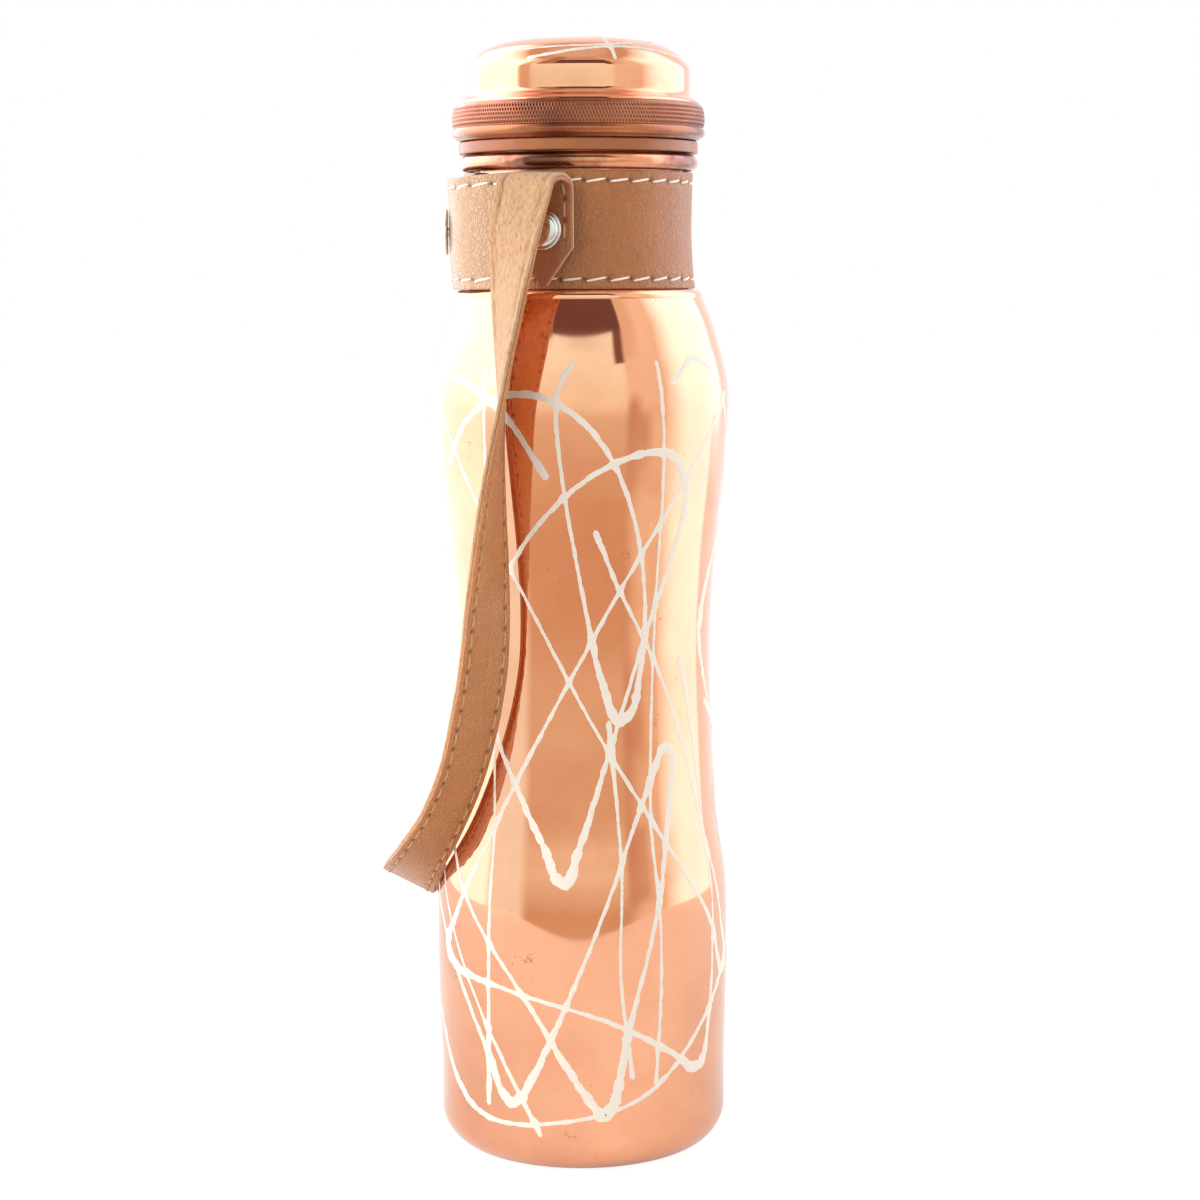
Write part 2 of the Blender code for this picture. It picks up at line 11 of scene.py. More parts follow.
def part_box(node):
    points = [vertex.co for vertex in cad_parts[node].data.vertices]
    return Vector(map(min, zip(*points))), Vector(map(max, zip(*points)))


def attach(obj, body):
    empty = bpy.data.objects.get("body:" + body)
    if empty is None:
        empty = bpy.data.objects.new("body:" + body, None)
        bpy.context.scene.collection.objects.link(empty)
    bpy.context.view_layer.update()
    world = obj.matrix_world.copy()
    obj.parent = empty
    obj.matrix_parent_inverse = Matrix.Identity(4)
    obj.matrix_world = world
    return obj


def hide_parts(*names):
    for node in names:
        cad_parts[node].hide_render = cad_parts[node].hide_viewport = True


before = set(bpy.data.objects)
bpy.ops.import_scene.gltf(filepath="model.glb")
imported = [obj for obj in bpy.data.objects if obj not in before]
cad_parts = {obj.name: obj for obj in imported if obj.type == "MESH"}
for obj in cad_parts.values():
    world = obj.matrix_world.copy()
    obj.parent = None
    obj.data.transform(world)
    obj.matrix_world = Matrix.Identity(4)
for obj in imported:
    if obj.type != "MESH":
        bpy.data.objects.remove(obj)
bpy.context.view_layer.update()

# Camera. A short telephoto lens a little above the shoulder of the bottle, turned 15 degrees to
# the right of the rivet axis and looking slightly down, as the photograph was taken.
mm = 0.001
view_turn = math.radians(15)
view_distance = 680 * mm
view_height = 218.1 * mm
view_offset = 4.8 * mm
view_tilt = math.radians(6.78)
view_roll = math.radians(0.26)
to_camera = Vector((math.sin(view_turn), -math.cos(view_turn), 0))
to_right = Vector((math.cos(view_turn), math.sin(view_turn), 0))
camera = bpy.data.objects.new("camera", bpy.data.cameras.new("camera"))
camera.data.lens = 82.23
camera.data.sensor_width = 36
camera.location = to_camera * view_distance + to_right * view_offset + Vector((0, 0, view_height))
line_of_sight = -to_camera * math.cos(view_tilt) - Vector((0, 0, math.sin(view_tilt)))
camera.rotation_mode = "QUATERNION"
roll_back = Quaternion((0, 0, 1), -view_roll)
camera.rotation_quaternion = line_of_sight.to_track_quat("-Z", "Y") @ roll_back
bpy.context.scene.collection.objects.link(camera)
bpy.context.scene.camera = camera
bpy.context.scene.view_settings.view_transform = "Standard"


# Studio. White paper under the bottle and two large soft panels, which light all but the metal. The
# metal mirrors a ring of cards instead: a pale one in front with darker strips beside it, a dark
# ceiling above it, and the glow of a panel at each side.
def colour(code):
    """An sRGB hex colour as linear red, green, blue and alpha."""
    channels = [int(code[i : i + 2], 16) / 255 for i in (0, 2, 4)]
    linear = [c / 12.92 if c <= 0.04045 else ((c + 0.055) / 1.055) ** 2.4 for c in channels]
    return (*linear, 1)


def add(tree, kind, *sources, **named):
    """Adds a node. The sources go to its inputs in use, in their order, and what is named with a
    capital to the input of that name; the rest are settings. A source is a value, a socket or a
    node, of which the first output in use is linked."""
    made = tree.nodes.new("ShaderNode" + kind)
    for key in [key for key in named if key[0].islower()]:
        setattr(made, key, named.pop(key))
    pairs = [*zip([socket for socket in made.inputs if socket.enabled], sources)]
    pairs += [(made.inputs[key.replace("_", " ")], source) for key, source in named.items()]
    for socket, source in pairs:
        if isinstance(source, bpy.types.Node):
            source = next(output for output in source.outputs if output.enabled)
        if isinstance(source, bpy.types.NodeSocket):
            tree.links.new(source, socket)
        else:
            socket.default_value = source
    return made


def new_tree(owner):
    """The owner's node tree, emptied."""
    owner.use_nodes = True
    owner.node_tree.nodes.clear()
    return owner.node_tree


room = bpy.data.worlds.new("studio")
bpy.context.scene.world = room
tree = new_tree(room)
rays = add(tree, "LightPath").outputs
white = add(tree, "Background", Color=(1, 1, 1, 1), Strength=1.0)
ambient = add(tree, "Background", Color=(1, 0.99, 0.98, 1), Strength=0.5)
overhead = add(tree, "Background", Color=(0.80, 0.74, 0.64, 1), Strength=1.0)
lit = add(tree, "MixShader", rays["Is Glossy Ray"], ambient, overhead)
seen = add(tree, "Math", rays["Is Camera Ray"], rays["Is Transmission Ray"], operation="MAXIMUM")
add(tree, "OutputWorld", add(tree, "MixShader", seen, lit, white))

panel_size = (1500 * mm, 1050 * mm)
panel_distance = 760 * mm
for side, bearing_degrees, radiance in (("left", -68, 2.7), ("right", 104, 1.9)):
    lamp = bpy.data.lights.new(f"panel_{side}", "AREA")
    lamp.shape = "RECTANGLE"
    lamp.size, lamp.size_y = panel_size
    lamp.energy = radiance * math.pi * panel_size[0] * panel_size[1]
    lamp.color = (1, 0.985, 0.96)
    holder = bpy.data.objects.new(lamp.name, lamp)
    turn = math.radians(bearing_degrees)
    outward = to_camera * math.cos(turn) + to_right * math.sin(turn)
    holder.location = outward * panel_distance + Vector((0, 0, panel_size[1] / 2))
    holder.rotation_euler = (-outward).to_track_quat("-Z", "Y").to_euler()
    holder.visible_glossy = False
    bpy.context.scene.collection.objects.link(holder)


def placed(name, bm, finish):
    """The bmesh as an object of the scene."""
    mesh = bpy.data.meshes.new(name)
    bm.to_mesh(mesh)
    bm.free()
    mesh.materials.append(finish)
    made = bpy.data.objects.new(name, mesh)
    bpy.context.scene.collection.objects.link(made)
    return made


def new_finish(name):
    """A new material, its emptied node tree, and the place on the piece that its patterns follow."""
    made = bpy.data.materials.new(name)
    tree = new_tree(made)
    return made, tree, add(tree, "TexCoord").outputs["Object"]


card_paint, tree, place = new_finish("Painted card, lit")
card_paint.cycles.emission_sampling = "NONE"
ahead = add(tree, "VectorMath", place, to_camera, operation="DOT_PRODUCT")
aside = add(tree, "VectorMath", place, to_right, operation="DOT_PRODUCT")
turned = add(tree, "Math", aside, ahead, operation="ARCTAN2")
bearing = add(tree, "Math", turned, 180 / math.pi, operation="MULTIPLY")
rise = add(tree, "SeparateXYZ", place).outputs["Z"]
height = add(tree, "Math", rise, 1 / mm, operation="MULTIPLY")


def between(value, low, high, blur):
    """1 where the value lies between low and high, with edges blurred over blur."""
    edges = []
    for bound, ends in ((low, (0, 1)), (high, (1, 0))):
        edges.append(add(tree, "MapRange", value, bound - blur / 2, bound + blur / 2, *ends))
    return add(tree, "Math", *edges, operation="MULTIPLY")


# Cards, each painted over those before it: the bearings it spans from the camera's side, rightwards
# in degrees, with the blur of its edges, its heights in millimetres with theirs, and its light
behind = (1.12, 1.08, 1.10)
cards = (
    (-63, 68, 3, 170, 2000, 40, (1.0, 0.97, 0.90)),
    (-50, 68, 8, -400, 150, 90, (0.72, 0.556, 0.407)),
    (40, 84, 12, 200, 2000, 250, (1.0, 0.97, 0.88)),
    (40, 84, 8, -400, 45, 40, (0.93, 0.89, 0.76)),
    (55, 84, 8, 45, 150, 40, (0.93, 0.89, 0.76)),
    (36, 46, 8, 20, 220, 120, (0.68, 0.50, 0.40)),
    (78, 140, 22, -400, 2000, 60, (1.5, 1.75, 1.95)),
    (78, 140, 22, -400, 60, 30, (1.6, 1.85, 2.05)),
    (78, 140, 22, 180, 2000, 260, (2.1, 2.3, 2.7)),
    (121, 200, 4, -400, 110, 60, behind),
    (136, 200, 8, 110, 2000, 60, behind),
    (-155, -76, 10, -400, 2000, 20, (1.6, 1.95, 2.1)),
    (-76, -46, 8, -400, 130, 50, (1.0, 1.18, 1.20)),
    (-155, -60, 4, 210, 2000, 240, (2.9, 2.8, 3.1)),
    (-61, -46, 3, 170, 480, 40, (0.87, 0.75, 0.60)),
    (-48, 36, 4, 105, 2000, 200, (0.99, 1.09, 0.98)),
    (-48, 36, 4, 300, 2000, 340, (1.08, 1.36, 1.34)),
    (-300, 300, 2, 1100, 5000, 500, (0.72, 0.58, 0.45)),
    (-44, -23, 3, 525, 2000, 4, (0.50, 0.34, 0.24)),
    (35, 50, 8, 480, 2000, 60, (0.86, 0.76, 0.62)),
    (29, 37, 3, 452, 540, 5, (0.24, 0.14, 0.12)),
    (-24, 37, 2, 536, 1150, 3, (0.18, 0.10, 0.10)),
)
light = (*behind, 1)
for left, right, blur, low, high, fade, paint in cards:
    inside = between(bearing, left, right, blur), between(height, low, high, fade)
    patch = add(tree, "Math", *inside, operation="MULTIPLY")
    light = add(tree, "Mix", patch, light, (*paint, 1), data_type="RGBA")
add(tree, "OutputMaterial", add(tree, "Emission", Color=light, Strength=1.0))

cards_radius = 560 * mm
cards_low, cards_high = -300 * mm, 2200 * mm
bm = bmesh.new()
bmesh.ops.create_cone(
    bm, cap_ends=False, segments=96, radius1=cards_radius, radius2=cards_radius, depth=cards_high - cards_low,
)
bmesh.ops.translate(bm, vec=(0, 0, (cards_low + cards_high) / 2), verts=bm.verts)
ring_of_cards = placed("ring_of_cards", bm, card_paint)
for kind in ("camera", "diffuse", "transmission", "shadow", "volume_scatter"):
    setattr(ring_of_cards, f"visible_{kind}", False)

floor_front = 290 * mm
floor_reach = 6000 * mm
bm = bmesh.new()
bmesh.ops.create_grid(bm, x_segments=1, y_segments=1, size=1)
for vert in bm.verts:
    depth = floor_front if vert.co.y < 0 else -floor_reach
    vert.co = to_right * vert.co.x * floor_reach + to_camera * depth
bmesh.ops.recalc_face_normals(bm, faces=bm.faces)
paper_finish = bpy.data.materials.new("White studio paper")
tree = new_tree(paper_finish)
rays = add(tree, "LightPath").outputs
paper = add(tree, "BsdfDiffuse", Color=colour("F4F4F4"))
# The camera sees the paper burnt out to white but for the shade under the foot; the copper sees
# more of the shade, which darkens towards the bottle
for ray, shade, burnt in (("Is Glossy Ray", 0.70, 0.18), ("Is Camera Ray", 0.30, 0.88)):
    shaded = add(tree, "BsdfDiffuse", Color=(shade, shade, shade, 1))
    bright = add(tree, "Emission", Color=(1, 1, 1, 1), Strength=burnt)
    both = add(tree, "AddShader", shaded, bright)
    paper = add(tree, "MixShader", rays[ray], paper, both)
add(tree, "OutputMaterial", paper)
placed("sweep", bm, paper_finish)


# Bottle shell. One copper tube, spun and hammered to a waisted form, polished and lacquered.
# Its neck, drawn in under the leather band, carries the collar.
copper_wall = 0.9 * mm
shell_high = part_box("bottle_shell")[1]
band_low, band_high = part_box("band_outer")


def spans(points, step):
    """Points about step apart on a Catmull-Rom spline, a list for each span. The first and the last
    of the given points only steer its ends."""
    made = []
    for before, start, end, after in zip(points, points[1:], points[2:], points[3:]):
        reach = (end - start).length
        lead_out = start + (end - before).normalized() * reach / 3
        lead_in = end - (after - start).normalized() * reach / 3
        count = max(round(reach / step), 1)
        made.append(interpolate_bezier(start, lead_out, lead_in, end, count + 1))
    return made


def smooth_line(points, step):
    """Points about step apart on a smooth curve through the given ones."""
    around = [2 * points[0] - points[1], *points, 2 * points[-1] - points[-2]]
    return [*(point for span in spans(around, step) for point in span[:-1]), points[-1]]


def outline_of(points, step=1.0 * mm):
    """A smooth outline, in metres, through points of (radius, height) in millimetres."""
    return smooth_line([Vector((radius * mm, height * mm)) for radius, height in points], step)


def corner(centre, radius, start, end, steps):
    """An arc of an outline, between two angles in degrees."""
    turns = [math.radians(start + (end - start) * i / steps) for i in range(steps + 1)]
    return [Vector(centre) + radius * Vector((math.cos(t), math.sin(t))) for t in turns]


def about_axis(radius, turn, height):
    """The point at a radius from the bottle's axis, a turn about it and a height."""
    return Vector((radius * math.cos(turn), radius * math.sin(turn), height))


def spun(outline, closed=True, turns=224):
    """A bmesh of an outline of (radius, height) turned about the bottle's axis."""
    bm = bmesh.new()
    points = [bm.verts.new((radius, 0, height)) for radius, height in outline]
    following = points[1:] + points[:1] if closed else points[1:]
    edges = [bm.edges.new(pair) for pair in zip(points, following)]
    bmesh.ops.spin(
        bm, geom=points + edges, cent=(0, 0, 0), axis=(0, 0, 1), dvec=(0, 0, 0),
        angle=2 * math.pi, steps=turns, use_merge=True, use_duplicate=False,
    )
    bmesh.ops.remove_doubles(bm, verts=bm.verts, dist=0.001 * mm)
    return bm


def finished(name, bm, finish, body, stands_for=(), crease=40):
    """The bmesh as a smooth-shaded piece that rides on its body and stands for its CAD nodes."""
    bmesh.ops.recalc_face_normals(bm, faces=bm.faces)
    piece = placed(name, bm, finish)
    piece.data.shade_smooth()
    piece.data.set_sharp_from_angle(angle=math.radians(crease))
    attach(piece, body)
    if stands_for:
        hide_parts(*stands_for)
    return piece


def painted(tree, ground, coats):
    """A ground colour under coats of others, each laid on where its mask says."""
    paint = colour(ground)
    for mask, code in coats:
        paint = add(tree, "Mix", mask, paint, colour(code), data_type="RGBA")
    return paint


def copper_finish(name, light, dark, rough, tarnish, blotch=12 * mm, shade_grooves=False, strap_reflection=None):
    """Copper, lacquered over a buffed surface: warm and mirror-like, with fine buffing lines, a
    cloudy bloom of tarnish, and a few clusters of hair-fine brown ticks under the lacquer. The
    point given last is the middle of a dark patch painted as the reflection of the strap's roll."""
    made, tree, place = new_finish(name)
    bloom = add(tree, "TexNoise", Vector=place, Scale=0.6 / blotch, Detail=5, Roughness=0.6)
    cloud = add(tree, "MapRange", bloom, 0.42, 0.72, 0.0, tarnish)
    # Ticks are 0.2 mm wide and 1 to 3 mm long: the contour of a fine noise, in a few small patches
    curl = add(tree, "TexNoise", Vector=place, Scale=420, Detail=2)
    off_line = add(tree, "Math", curl, 0.5, operation="SUBTRACT")
    off_contour = add(tree, "Math", off_line, operation="ABSOLUTE")
    tick = add(tree, "MapRange", off_contour, 0.008, 0.024, 0.6, 0.0)
    patch = add(tree, "TexNoise", Vector=place, Scale=75, Detail=4, Roughness=0.7)
    rare = add(tree, "MapRange", patch, 0.635, 0.675)
    marks = add(tree, "Math", tick, rare, operation="MULTIPLY")
    coats = [(cloud, dark), (marks, "6A3018")]
    # Grooves marked in a layer of the piece get painted shade, darkest where deepest
    if shade_grooves:
        coats.append((add(tree, "Attribute", attribute_name="groove_shade").outputs["Fac"], "4A1C0E"))
    # A dark patch round the given point, painted as the reflection of the strap's roll
    if strap_reflection:
        far = add(tree, "VectorMath", place, strap_reflection, operation="DISTANCE")
        ragged = add(tree, "Math", bloom, -14 * mm, far, operation="MULTIPLY_ADD")
        coats.append((add(tree, "MapRange", ragged, -2 * mm, 3 * mm, 0.92, 0.0), "501808"))
    gloss = add(tree, "MapRange", bloom, 0.3, 0.8, rough, rough * 1.4)
    # The buffing lines run up the bottle; they are drawn 0.7 mm apart, coarser than real
    lines = add(tree, "Mapping", Vector=place, Scale=(1, 1, 0.03))
    buffing = add(tree, "TexNoise", Vector=lines, Scale=1500, Detail=3)
    ripple = add(tree, "Bump", Height=buffing, Strength=0.06, Distance=0.02 * mm)
    waves = add(tree, "TexNoise", Vector=place, Scale=40, Detail=1)
    dents = add(tree, "Bump", Height=waves, Strength=0.25, Distance=0.3 * mm, Normal=ripple)
    shader = add(
        tree, "BsdfPrincipled", Base_Color=painted(tree, light, coats), Metallic=1.0, Roughness=gloss,
        Normal=dents, Coat_Weight=0.8, Coat_Roughness=0.04,
    )
    add(tree, "OutputMaterial", shader)
    return made


body_copper = copper_finish("Polished lacquered copper", "FBB48C", "E89A70", 0.05, 0.5)

neck_points = ((25.7, 242.5), (25.7, 238.0), (25.0, 234.0), (23.7, 228.6), (24.6, 220.0), (26.2, 215.2))
ring_points = ((27.0, 214.4), (29.4, 214.3), (30.2, 213.7), (30.5, 212.9), (30.45, 212.3))
shoulder_points = (
    (30.75, 211.7), (31.7, 209.6), (32.8, 206.7), (34.2, 202.2), (35.75, 196.8), (36.75, 191.8),
    (37.03, 187.0), (36.7, 181.0), (36.0, 173.0), (35.2, 164.5), (34.0, 154.0), (33.1, 143.5),
    (32.45, 132.0), (32.25, 123.0), (32.5, 112.0), (32.95, 101.5), (33.35, 92.5), (33.9, 84.0),
    (34.85, 77.0), (35.75, 71.0), (36.3, 65.5), (36.45, 59.0), (36.42, 45.0), (36.15, 33.0), (35.8, 22.0),
)
base_corner = 9.6 * mm
base_radius = 35.8 * mm
opening_radius = 24.0 * mm
body_outline = outline_of(shoulder_points)
corner_centre = (base_radius - base_corner, base_corner)
outer_side = [
    *outline_of(neck_points),
    *outline_of(ring_points, 0.3 * mm),
    *body_outline,
    *corner(corner_centre, base_corner, -4, -90, 14),
    (opening_radius, 0),
]


def inset(outline, wall):
    """The outline moved inwards by a wall's thickness, square to itself, and turned to run back."""
    points = [Vector(point) for point in outline]
    made = []
    for before, point, after in zip([points[0], *points], points, [*points[1:], points[-1]]):
        along = after - before
        made.append(point + Vector((along.y, -along.x)).normalized() * wall)
    return made[::-1]


inner_side = inset(outer_side[::2], copper_wall)
inner_side = [point for point in inner_side if point.x > opening_radius - copper_wall]
shell = spun([*outer_side, *inner_side])
finished("bottle_body", shell, body_copper, "bottle", ["bottle_shell"], crease=28)


# Base disc. A flat copper disc brazed into the bottom of the shell; a fine seam shows round it,
# and the spinning lathe has left shallow rings.
disc_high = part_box("base_disc")[1]
disc_radius = opening_radius - 0.3 * mm
disc_seat = copper_wall + 0.3 * mm
disc_edge = 0.2 * mm
disc_outline = [
    (0, disc_high.z), (disc_high.x, disc_high.z), (disc_high.x, disc_seat),
    (disc_radius, disc_seat), (disc_radius, disc_edge), (disc_radius - disc_edge, 0),
]
ring_count, ring_half, ring_depth = 5, 1.2 * mm, 0.12 * mm
for i in range(ring_count):
    ring = disc_radius * (1 - (i + 1) / (ring_count + 1))
    disc_outline += [(ring + ring_half, 0), (ring, ring_depth), (ring - ring_half, 0)]
disc = spun([*disc_outline, (0, 0)], closed=False)
finished("bottle_base", disc, body_copper, "bottle", ["base_disc"], crease=28)


# Enamel lines. Off-white cold enamel, dribbled from a stick in long sweeps while the bottle was
# turned, so each line is thin where the hand was fast and swells into a bead where it turned back.
# It dries to a soft gloss with a slightly dimpled skin
enamel, tree, place = new_finish("Off-white cold enamel")
skin = add(tree, "TexNoise", Vector=place, Scale=300, Detail=2)
dimple = add(tree, "Bump", Height=skin, Strength=0.3, Distance=0.05 * mm)
tint = painted(tree, "EDE4D8", [(skin, "E5DACC")])
shader = add(tree, "BsdfPrincipled", Base_Color=tint, Roughness=0.5, Normal=dimple)
add(tree, "OutputMaterial", shader)


class Surface:
    """A turned surface on which lines are drawn by their turn and their way along its outline."""

    def __init__(self, outline):
        self.radius, self.height = np.array([tuple(point) for point in outline]).T
        steps = np.hypot(np.diff(self.radius), np.diff(self.height))
        self.way = np.concatenate([[0], np.cumsum(steps)])

    def way_at(self, height):
        """The way along the outline at a height, where the heights fall along it."""
        return float(np.interp(-height, -self.height, self.way))

    def section(self, way):
        """The radius and the height at a way."""
        return [float(np.interp(way, self.way, line)) for line in (self.radius, self.height)]

    def at(self, turn, way):
        """The point at a turn and a way, and the directions round, along and out of the surface."""
        radius, height = self.section(way)
        reach = 0.6 * mm
        low, high = self.section(way - reach), self.section(way + reach)
        outward = Vector((math.cos(turn), math.sin(turn), 0))
        around = Vector((-math.sin(turn), math.cos(turn), 0))
        along = (outward * (high[0] - low[0]) + Vector((0, 0, high[1] - low[1]))).normalized()
        return outward * radius + Vector((0, 0, height)), radius, around, along, along.cross(around) * -1


def lofted(sections, marks=None, layer="hole", bm=None):
    """A bmesh that skins closed sections of as many points each, and closes both ends. Marks, a
    number for each point, go into a layer of it. A given bmesh is added to."""
    if bm is None:
        bm = bmesh.new()
    mark = bm.verts.layers.float.new(layer) if marks else None
    rows, columns = len(sections) - 1, len(sections[0])
    made = bmesh.ops.create_grid(bm, x_segments=rows, y_segments=columns, size=0.5)["verts"]
    for vert in made:
        row, column = round((vert.co.x + 0.5) * rows), round((vert.co.y + 0.5) * columns) % columns
        vert.co = sections[row][column]
        if marks:
            vert[mark] = marks[row][column]
    bmesh.ops.remove_doubles(bm, verts=made, dist=0.0001 * mm)
    rims = [edge for edge in bm.edges if edge.is_boundary]
    bmesh.ops.holes_fill(bm, edges=rims, sides=0)
    return bm


def drawn_line(waypoints, step):
    """(turn, way, width) along a smooth line through waypoints of turn, way and width."""
    radius = 36 * mm
    scaled = [Vector((turn * radius, way, width)) for turn, way, width in waypoints]
    return [(point.x / radius, point.y, point.z) for point in smooth_line(scaled, step)]


def web_widths(lines, surface):
    """Where two lines cross the wet enamel pulled together, so both are wider there."""
    tree_of_points = KDTree(sum(len(line) for line in lines))
    order = []
    for line_number, line in enumerate(lines):
        for i, (turn, way, width) in enumerate(line):
            tree_of_points.insert(surface.at(turn, way)[0], len(order))
            order.append((line_number, i))
    tree_of_points.balance()
    made = [[width for turn, way, width in line] for line in lines]
    reach = 2.2 * mm
    pulled_wider = 0.75 * mm
    own_points = 16
    for line_number, i in order:
        turn, way, width = lines[line_number][i]
        nearest = reach
        for _, other, distance in tree_of_points.find_range(surface.at(turn, way)[0], reach):
            other_line, k = order[other]
            if other_line != line_number or abs(k - i) > own_points:
                nearest = min(nearest, distance)
        made[line_number][i] = width + pulled_wider * (1 - nearest / reach) ** 2
    return made


def rounded(*gaps):
    """How far a rounded edge has risen, from 0 to 1, at the least of some gaps, in radii, from it."""
    return math.sqrt(max(1 - max(1 - min(gaps), 0) ** 2, 0))


def dribble(bm, line, widths, surface, seed):
    """One line of enamel as a low rounded bead that follows the surface."""
    rising = ((-1.0, 0.0), (-0.86, 0.62), (-0.45, 0.95))
    falling = [(-across, lift) for across, lift in rising[::-1]]
    profile = (*rising, (0.0, 1.0), *falling, (0.0, -0.5))
    places = [surface.at(turn, way)[0] for turn, way, _ in line]
    gaps = [(ahead - behind).length for behind, ahead in zip(places, places[1:])]
    ways = [0.0, *np.cumsum(gaps)]
    sections = []
    for i, (turn, way, _) in enumerate(line):
        _, radius, around, along, outward = surface.at(turn, way)
        heading = (places[min(i + 1, len(line) - 1)] - places[max(i - 1, 0)]).normalized()
        side = outward.cross(heading).normalized()
        gone = ways[i]
        taper = rounded(min(gone, ways[-1] - gone) / (widths[i] / 2))
        # The edge wavers every 2 mm or so, and more finely every 0.8 mm
        shake = noise.noise(Vector((gone * 420, seed, 0))) * 0.42
        shake += noise.noise(Vector((gone * 1300, 0, seed))) * 0.26
        half = widths[i] / 2 * max(taper, 0.02) * (1 + shake)
        drift = noise.noise(Vector((gone * 330, seed, 9))) * 0.16 * widths[i]
        raise_by = min(0.10 * mm + 0.06 * widths[i], 0.24 * mm) * max(taper, 0.3)
        section = []
        for across, lift in profile:
            offset = across * half + drift
            new_turn = turn + offset * side.dot(around) / radius
            new_way = way + offset * side.dot(along)
            foot, _, _, _, up = surface.at(new_turn, new_way)
            bead = foot + up * (lift * raise_by - 0.02 * mm)
            # At the widest of the shoulder the bead is worn flat, so that it stays in the CAD box
            over = max(math.hypot(bead.x, bead.y) / shell_high.x, 1)
            section.append(Vector((bead.x / over, bead.y / over, bead.z)))
        sections.append(section)
    lofted(sections, bm=bm)


body_surface = Surface(body_outline + corner(corner_centre, base_corner, -4, -60, 8))
front_turn = math.atan2(to_camera.y, to_camera.x)
# Each stroke in degrees rightwards from the camera's side, millimetres of height and of width
strokes = (
    ((-82, 152, 1.0), (-58, 128, 1.1), (-32, 100, 1.3), (-14, 80, 1.9), (-7, 73, 2.9), (-2, 79, 2.0),
     (12, 104, 1.1), (30, 134, 1.0), (44, 156, 1.5), (46, 168, 2.3), (34, 176, 2.0), (8, 172, 1.3),
     (-18, 158, 1.1), (-44, 136, 1.2), (-70, 118, 1.8)),
    ((74, 190, 1.3), (54, 176, 1.1), (24, 150, 0.9), (-4, 122, 0.9), (-34, 90, 1.1), (-58, 62, 1.7),
     (-66, 53, 2.7), (-58, 49, 2.0), (-30, 46, 1.2), (6, 40, 1.0), (36, 30, 1.6), (52, 24, 2.6),
     (58, 30, 1.9), (62, 56, 1.1), (60, 90, 0.9), (52, 118, 1.4), (48, 126, 2.2)),
    ((31, 200, 1.0), (34, 170, 0.8), (33, 130, 0.75), (30, 90, 0.8), (32, 52, 0.8), (30, 22, 1.2)),
    ((-62, 172, 1.3), (-42, 186, 1.5), (-18, 190, 1.7), (4, 182, 1.4), (20, 164, 1.1), (28, 142, 1.0),
     (26, 122, 1.6), (18, 112, 2.5), (10, 120, 1.8), (2, 140, 1.0), (-6, 168, 0.9), (-8, 190, 1.2),
     (-2, 200, 1.5)),
    ((-86, 70, 1.6), (-62, 52, 1.2), (-40, 30, 1.5), (-30, 18, 2.7), (-22, 22, 2.0), (-4, 46, 1.1),
     (14, 74, 0.9), (30, 96, 1.5), (40, 104, 2.4), (40, 92, 1.7), (30, 64, 1.1), (18, 36, 1.5),
     (10, 16, 2.8), (2, 20, 2.0), (-22, 44, 1.1), (-50, 66, 1.0), (-72, 84, 1.6)),
    ((-37, 196, 0.9), (-39, 160, 0.7), (-40, 118, 0.7), (-38, 70, 0.75), (-40, 16, 1.5)),
    ((-78, 36, 1.5), (-60, 20, 1.9), (-40, 13, 1.3), (-8, 14, 1.0), (26, 20, 1.1), (56, 36, 1.4),
     (80, 52, 1.9)),
    ((12, 112, 1.3), (16, 80, 0.7), (15, 50, 0.75), (20, 24, 1.2)),
    ((92, 160, 1.4), (76, 150, 1.6), (64, 136, 2.6), (66, 124, 2.0), (78, 110, 1.2), (98, 98, 1.4),
     (112, 92, 2.2)),
    ((-74, 196, 1.3), (-52, 172, 1.0), (-24, 142, 0.8), (8, 108, 0.8), (38, 80, 1.0), (62, 58, 1.4),
     (74, 46, 2.4), (70, 60, 1.6), (56, 92, 1.0), (38, 120, 0.9), (16, 144, 0.9), (6, 158, 1.6)),
    ((36, 192, 1.3), (52, 200, 1.5), (68, 190, 1.2), (82, 172, 1.2), (94, 156, 1.8)),
)
# The back has the same strokes, and the right side the last of them, turned and upside down
lowest, highest, upside_down = 9, 198, 206
body_lines = []
for turned_by, group in ((0, strokes), (180, strokes), (270, strokes[6:])):
    for stroke in group:
        waypoints = []
        for degrees, height, width in stroke:
            if turned_by:
                degrees, height = turned_by - degrees, upside_down - height
            way = body_surface.way_at(min(max(height, lowest), highest) * mm)
            waypoints.append((front_turn + math.radians(degrees), way, width * mm))
        body_lines.append(drawn_line(waypoints, 0.6 * mm))
bm = bmesh.new()
for number, (line, widths) in enumerate(zip(body_lines, web_widths(body_lines, body_surface))):
    dribble(bm, line, widths, body_surface, number * 7.3)
finished("body_enamel", bm, enamel, "bottle", crease=60)


# Collar. Turned copper, brazed into the neck: a round bead that the leather band meets, and above
# it the threaded neck that the cap screws on. The bead isn't lacquered, so it has darkened; a dark
# patch on it is a painted reflection of the strap's roll.
collar_low, collar_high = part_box("neck_collar")
bead_radius = 29.4 * mm
bead_bottom = band_high.z + 0.3 * mm
bead_top = bead_bottom + 4.1 * mm
root_radius = 24.0 * mm
bore_radius = 22.0 * mm
spigot_radius = 24.5 * mm
lead = 4.0 * mm
thread_turns = 2
thread_height = 1.0 * mm
thread_sunk = 0.2 * mm
thread_start = bead_top + 6.2 * mm
bead_half = (bead_top - bead_bottom) / 2
